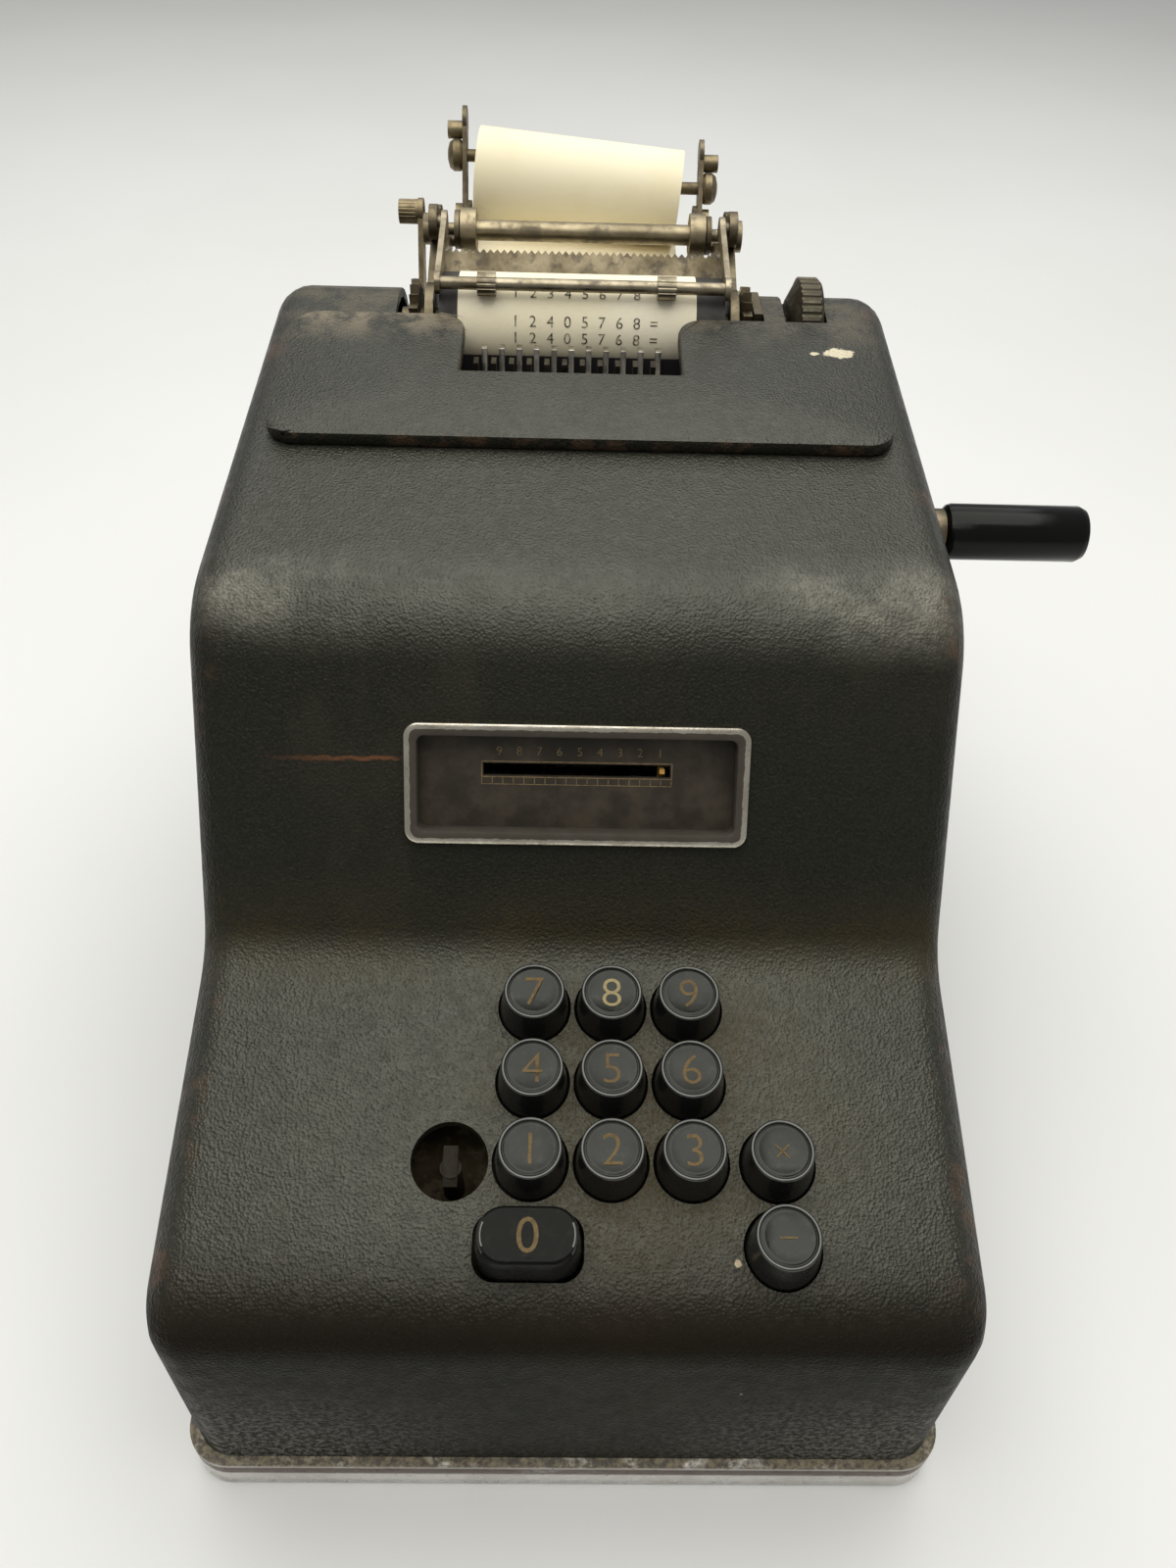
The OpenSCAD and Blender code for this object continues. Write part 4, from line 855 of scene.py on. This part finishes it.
def key_mark(name):
    """Flat shape of a key's digit, or of a function key's cross or bar."""
    if name == "key_repeat":
        h = CROSS_HALF
        return bars(((-h, -h), (h, h), CROSS_STROKE), ((-h, h), (h, -h), CROSS_STROKE))
    if name == "key_subtract":
        return bars(((-BAR_HALF, 0), (BAR_HALF, 0), BAR_STROKE))
    if name == WIDE_KEY:
        return flat_text(name[-1], ZERO_SIZE, ZERO_THIN)
    return flat_text(name[-1], DIGIT_SIZE, DIGIT_THIN)


def add_key(name, col, row):
    """A key's cap in place of its CAD node, and the mark that lies in its dish."""
    place = key_frame(col, row)
    wide = name == WIDE_KEY
    body = name + "_body"
    verts, faces = zero_cap() if wide else round_cap()
    finishes = (KEY_BLACK, KEY_RIM, ZERO_TOP if wide else KEY_TOP)
    bands = cap_bands(verts, faces, wide)
    cap = mesh_piece(name + "_cap", [place @ Vector(v) for v in verts], faces, finishes, body, bands)
    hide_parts(name)
    dish = zero_dish if wide else round_dish
    verts, faces = key_mark(name)
    verts = [place @ Vector((x, y, dish(x, y) + MARK_LIFT)) for x, y, _ in verts]
    fill = OCHRE_BRIGHT if name == FRESH_KEY else OCHRE
    digit = mesh_piece(name + "_mark", verts, faces, (fill,), body)


for key_name, (key_col, key_row) in KEYS.items():
    add_key(key_name, key_col, key_row)

# Marks of the window plate, in mm from the window's middle
PLATE_TOP = -4.0
INK_LIFT = 0.03
SLOT_UP = 2.6
SLOT_HALF = 22.9
SLOT_HALF_H = 1.9
SLOT_LOW = SLOT_UP - SLOT_HALF_H
SLOT_HIGH = SLOT_UP + SLOT_HALF_H
COLUMNS = 9
COLUMN_X = -18.7
COLUMN_PITCH = 4.83
COLUMN_UP = SLOT_UP + 4.5
COLUMN_SIZE = 3.0
COLUMN_THIN = -0.05
OUTLINE = 0.22
TICK = 0.16
TICK_COUNT = 19
TICK_PITCH = 2.54
TICK_TOP = SLOT_LOW - 0.2
TICK_FOOT = SLOT_LOW - 1.7
TICK_LINE = SLOT_LOW - 1.8
win = leaning((0, WIN_Y, WIN_Z), WIN_SLOPE)


def window_mark(name, shape, at_x=0.0, at_y=0.0):
    """A flat shape on the window plate."""
    verts, faces = shape
    verts = [win @ Vector((x + at_x, y + at_y, PLATE_TOP + INK_LIFT)) for x, y, _ in verts]
    piece = mesh_piece(name, verts, faces, (WINDOW_INK,), "machine")


for i in range(COLUMNS):
    number = str(COLUMNS - i)
    shape = flat_text(number, COLUMN_SIZE, COLUMN_THIN)
    window_mark("column_" + number, shape, COLUMN_X + COLUMN_PITCH * i, COLUMN_UP)
slot_corners = [(-SLOT_HALF, SLOT_LOW), (SLOT_HALF, SLOT_LOW)]
slot_corners += [(SLOT_HALF, SLOT_HIGH), (-SLOT_HALF, SLOT_HIGH)]
slot_lines = [(a, b, OUTLINE) for a, b in zip(slot_corners, slot_corners[1:] + slot_corners[:1])]
window_mark("slot_outline", bars(*slot_lines))
tick_x = [-SLOT_HALF + TICK_PITCH * i for i in range(TICK_COUNT)]
ticks = [((x, TICK_TOP), (x, TICK_FOOT), TICK) for x in tick_x]
ticks.append(((-SLOT_HALF, TICK_LINE), (SLOT_HALF, TICK_LINE), TICK))
window_mark("slot_ticks", bars(*ticks))

# Figures printed on the paper where it goes round the platen
PRINT_SIZE = 4.5
PRINT_THIN = -0.02
PRINT_LIFT = 0.11
PRINT_R = PAPER_R + PRINT_LIFT
PRINT_SHIFT = -1.3
PRINT_COLUMNS_LEFT = 3
PRINT_X = TYPE_X + PRINT_SHIFT - PRINT_COLUMNS_LEFT * TYPE_PITCH
# figures of each line, and its angle round the platen in degrees from the rear
PRINT_LINES = {
    "print_new": ("12405768=", 172.5),
    "print_last": ("12405768=", 154.0),
    "print_old": ("12345678", 121.0),
}


def print_line(name, text, angle):
    """A line of plain figures that follows the paper's curve."""
    verts = []
    faces = []
    for i, figure in enumerate(text):
        outline, parts = flat_text(figure, PRINT_SIZE, PRINT_THIN)
        n = len(verts)
        for x, y, _ in outline:
            a = math.radians(angle) - y / PAPER_R
            rear = PLATEN[0] + PRINT_R * math.cos(a)
            verts.append(world(PRINT_X + i * TYPE_PITCH + x, rear, PLATEN[1] + PRINT_R * math.sin(a)))
        faces += [tuple(k + n for k in part) for part in parts]
    piece = mesh_piece(name, verts, faces, (PRINT,), "machine")


for line_name, (figures, line_angle) in PRINT_LINES.items():
    print_line(line_name, figures, line_angle)

# Floor, light and camera, in metres
FLOOR_HALF = 6.0
SKY_TONE = (0.98, 0.99, 1.0, 1.0)
SKY_STRENGTH = 0.3
CAMERA_PLACE = (-0.00311, -0.2463, 0.34712)
CAMERA_YAW = math.radians(-1.573)
CAMERA_TILT = math.radians(90 - 43.938)
CAMERA_ROLL = math.radians(2.057)
SENSOR_H = 36.0
LENS = 28.125
# place, target, size, power and tone of each light
SOFTBOXES = {
    "top_box": ((0.0, 0.1, 1.35), (0.0, 0.0, 0.1), (1.7, 1.3), 18.0, (1.0, 0.99, 0.95)),
    "back_box": ((0.0, 1.0, 1.05), (0.0, 0.0, 0.15), (1.5, 0.7), 3.6, (1.0, 1.0, 1.0)),
    "front_box": ((-0.2, -0.85, 1.5), (0.0, 0.1, 0.2), (0.9, 0.6), 3.0, (1.0, 0.98, 0.94)),
}


def lay_floor():
    me = bpy.data.meshes.new("floor")
    h = FLOOR_HALF
    me.from_pydata([(-h, -h, 0), (h, -h, 0), (h, h, 0), (-h, h, 0)], [], [(0, 1, 2, 3)])
    me.materials.append(floor_white())
    ob = bpy.data.objects.new("floor", me)
    scene.collection.objects.link(ob)


def light_sky():
    sky = bpy.data.worlds.new("studio")
    sky.use_nodes = True
    back = sky.node_tree.nodes["Background"]
    back.inputs["Color"].default_value = SKY_TONE
    back.inputs["Strength"].default_value = SKY_STRENGTH
    scene.world = sky


def softbox(name, place, target, size, power, tone):
    data = bpy.data.lights.new(name, "AREA")
    data.shape = "RECTANGLE"
    data.size, data.size_y = size
    data.energy = power
    data.color = tone
    ob = bpy.data.objects.new(name, data)
    ob.location = place
    ob.rotation_euler = (Vector(target) - Vector(place)).to_track_quat("-Z", "Y").to_euler()
    scene.collection.objects.link(ob)


def set_camera():
    cam = bpy.data.cameras.new("photo_camera")
    cam.sensor_fit = "VERTICAL"
    cam.sensor_height = SENSOR_H
    cam.lens = LENS
    ob = bpy.data.objects.new("photo_camera", cam)
    look = Matrix.Rotation(CAMERA_YAW, 4, "Z") @ Matrix.Rotation(CAMERA_TILT, 4, "X")
    ob.matrix_world = Matrix.Translation(CAMERA_PLACE) @ look @ Matrix.Rotation(CAMERA_ROLL, 4, "Z")
    scene.collection.objects.link(ob)
    scene.camera = ob


lay_floor()
light_sky()
for box_name, box_settings in SOFTBOXES.items():
    softbox(box_name, *box_settings)
set_camera()
scene.view_settings.view_transform = "Standard"
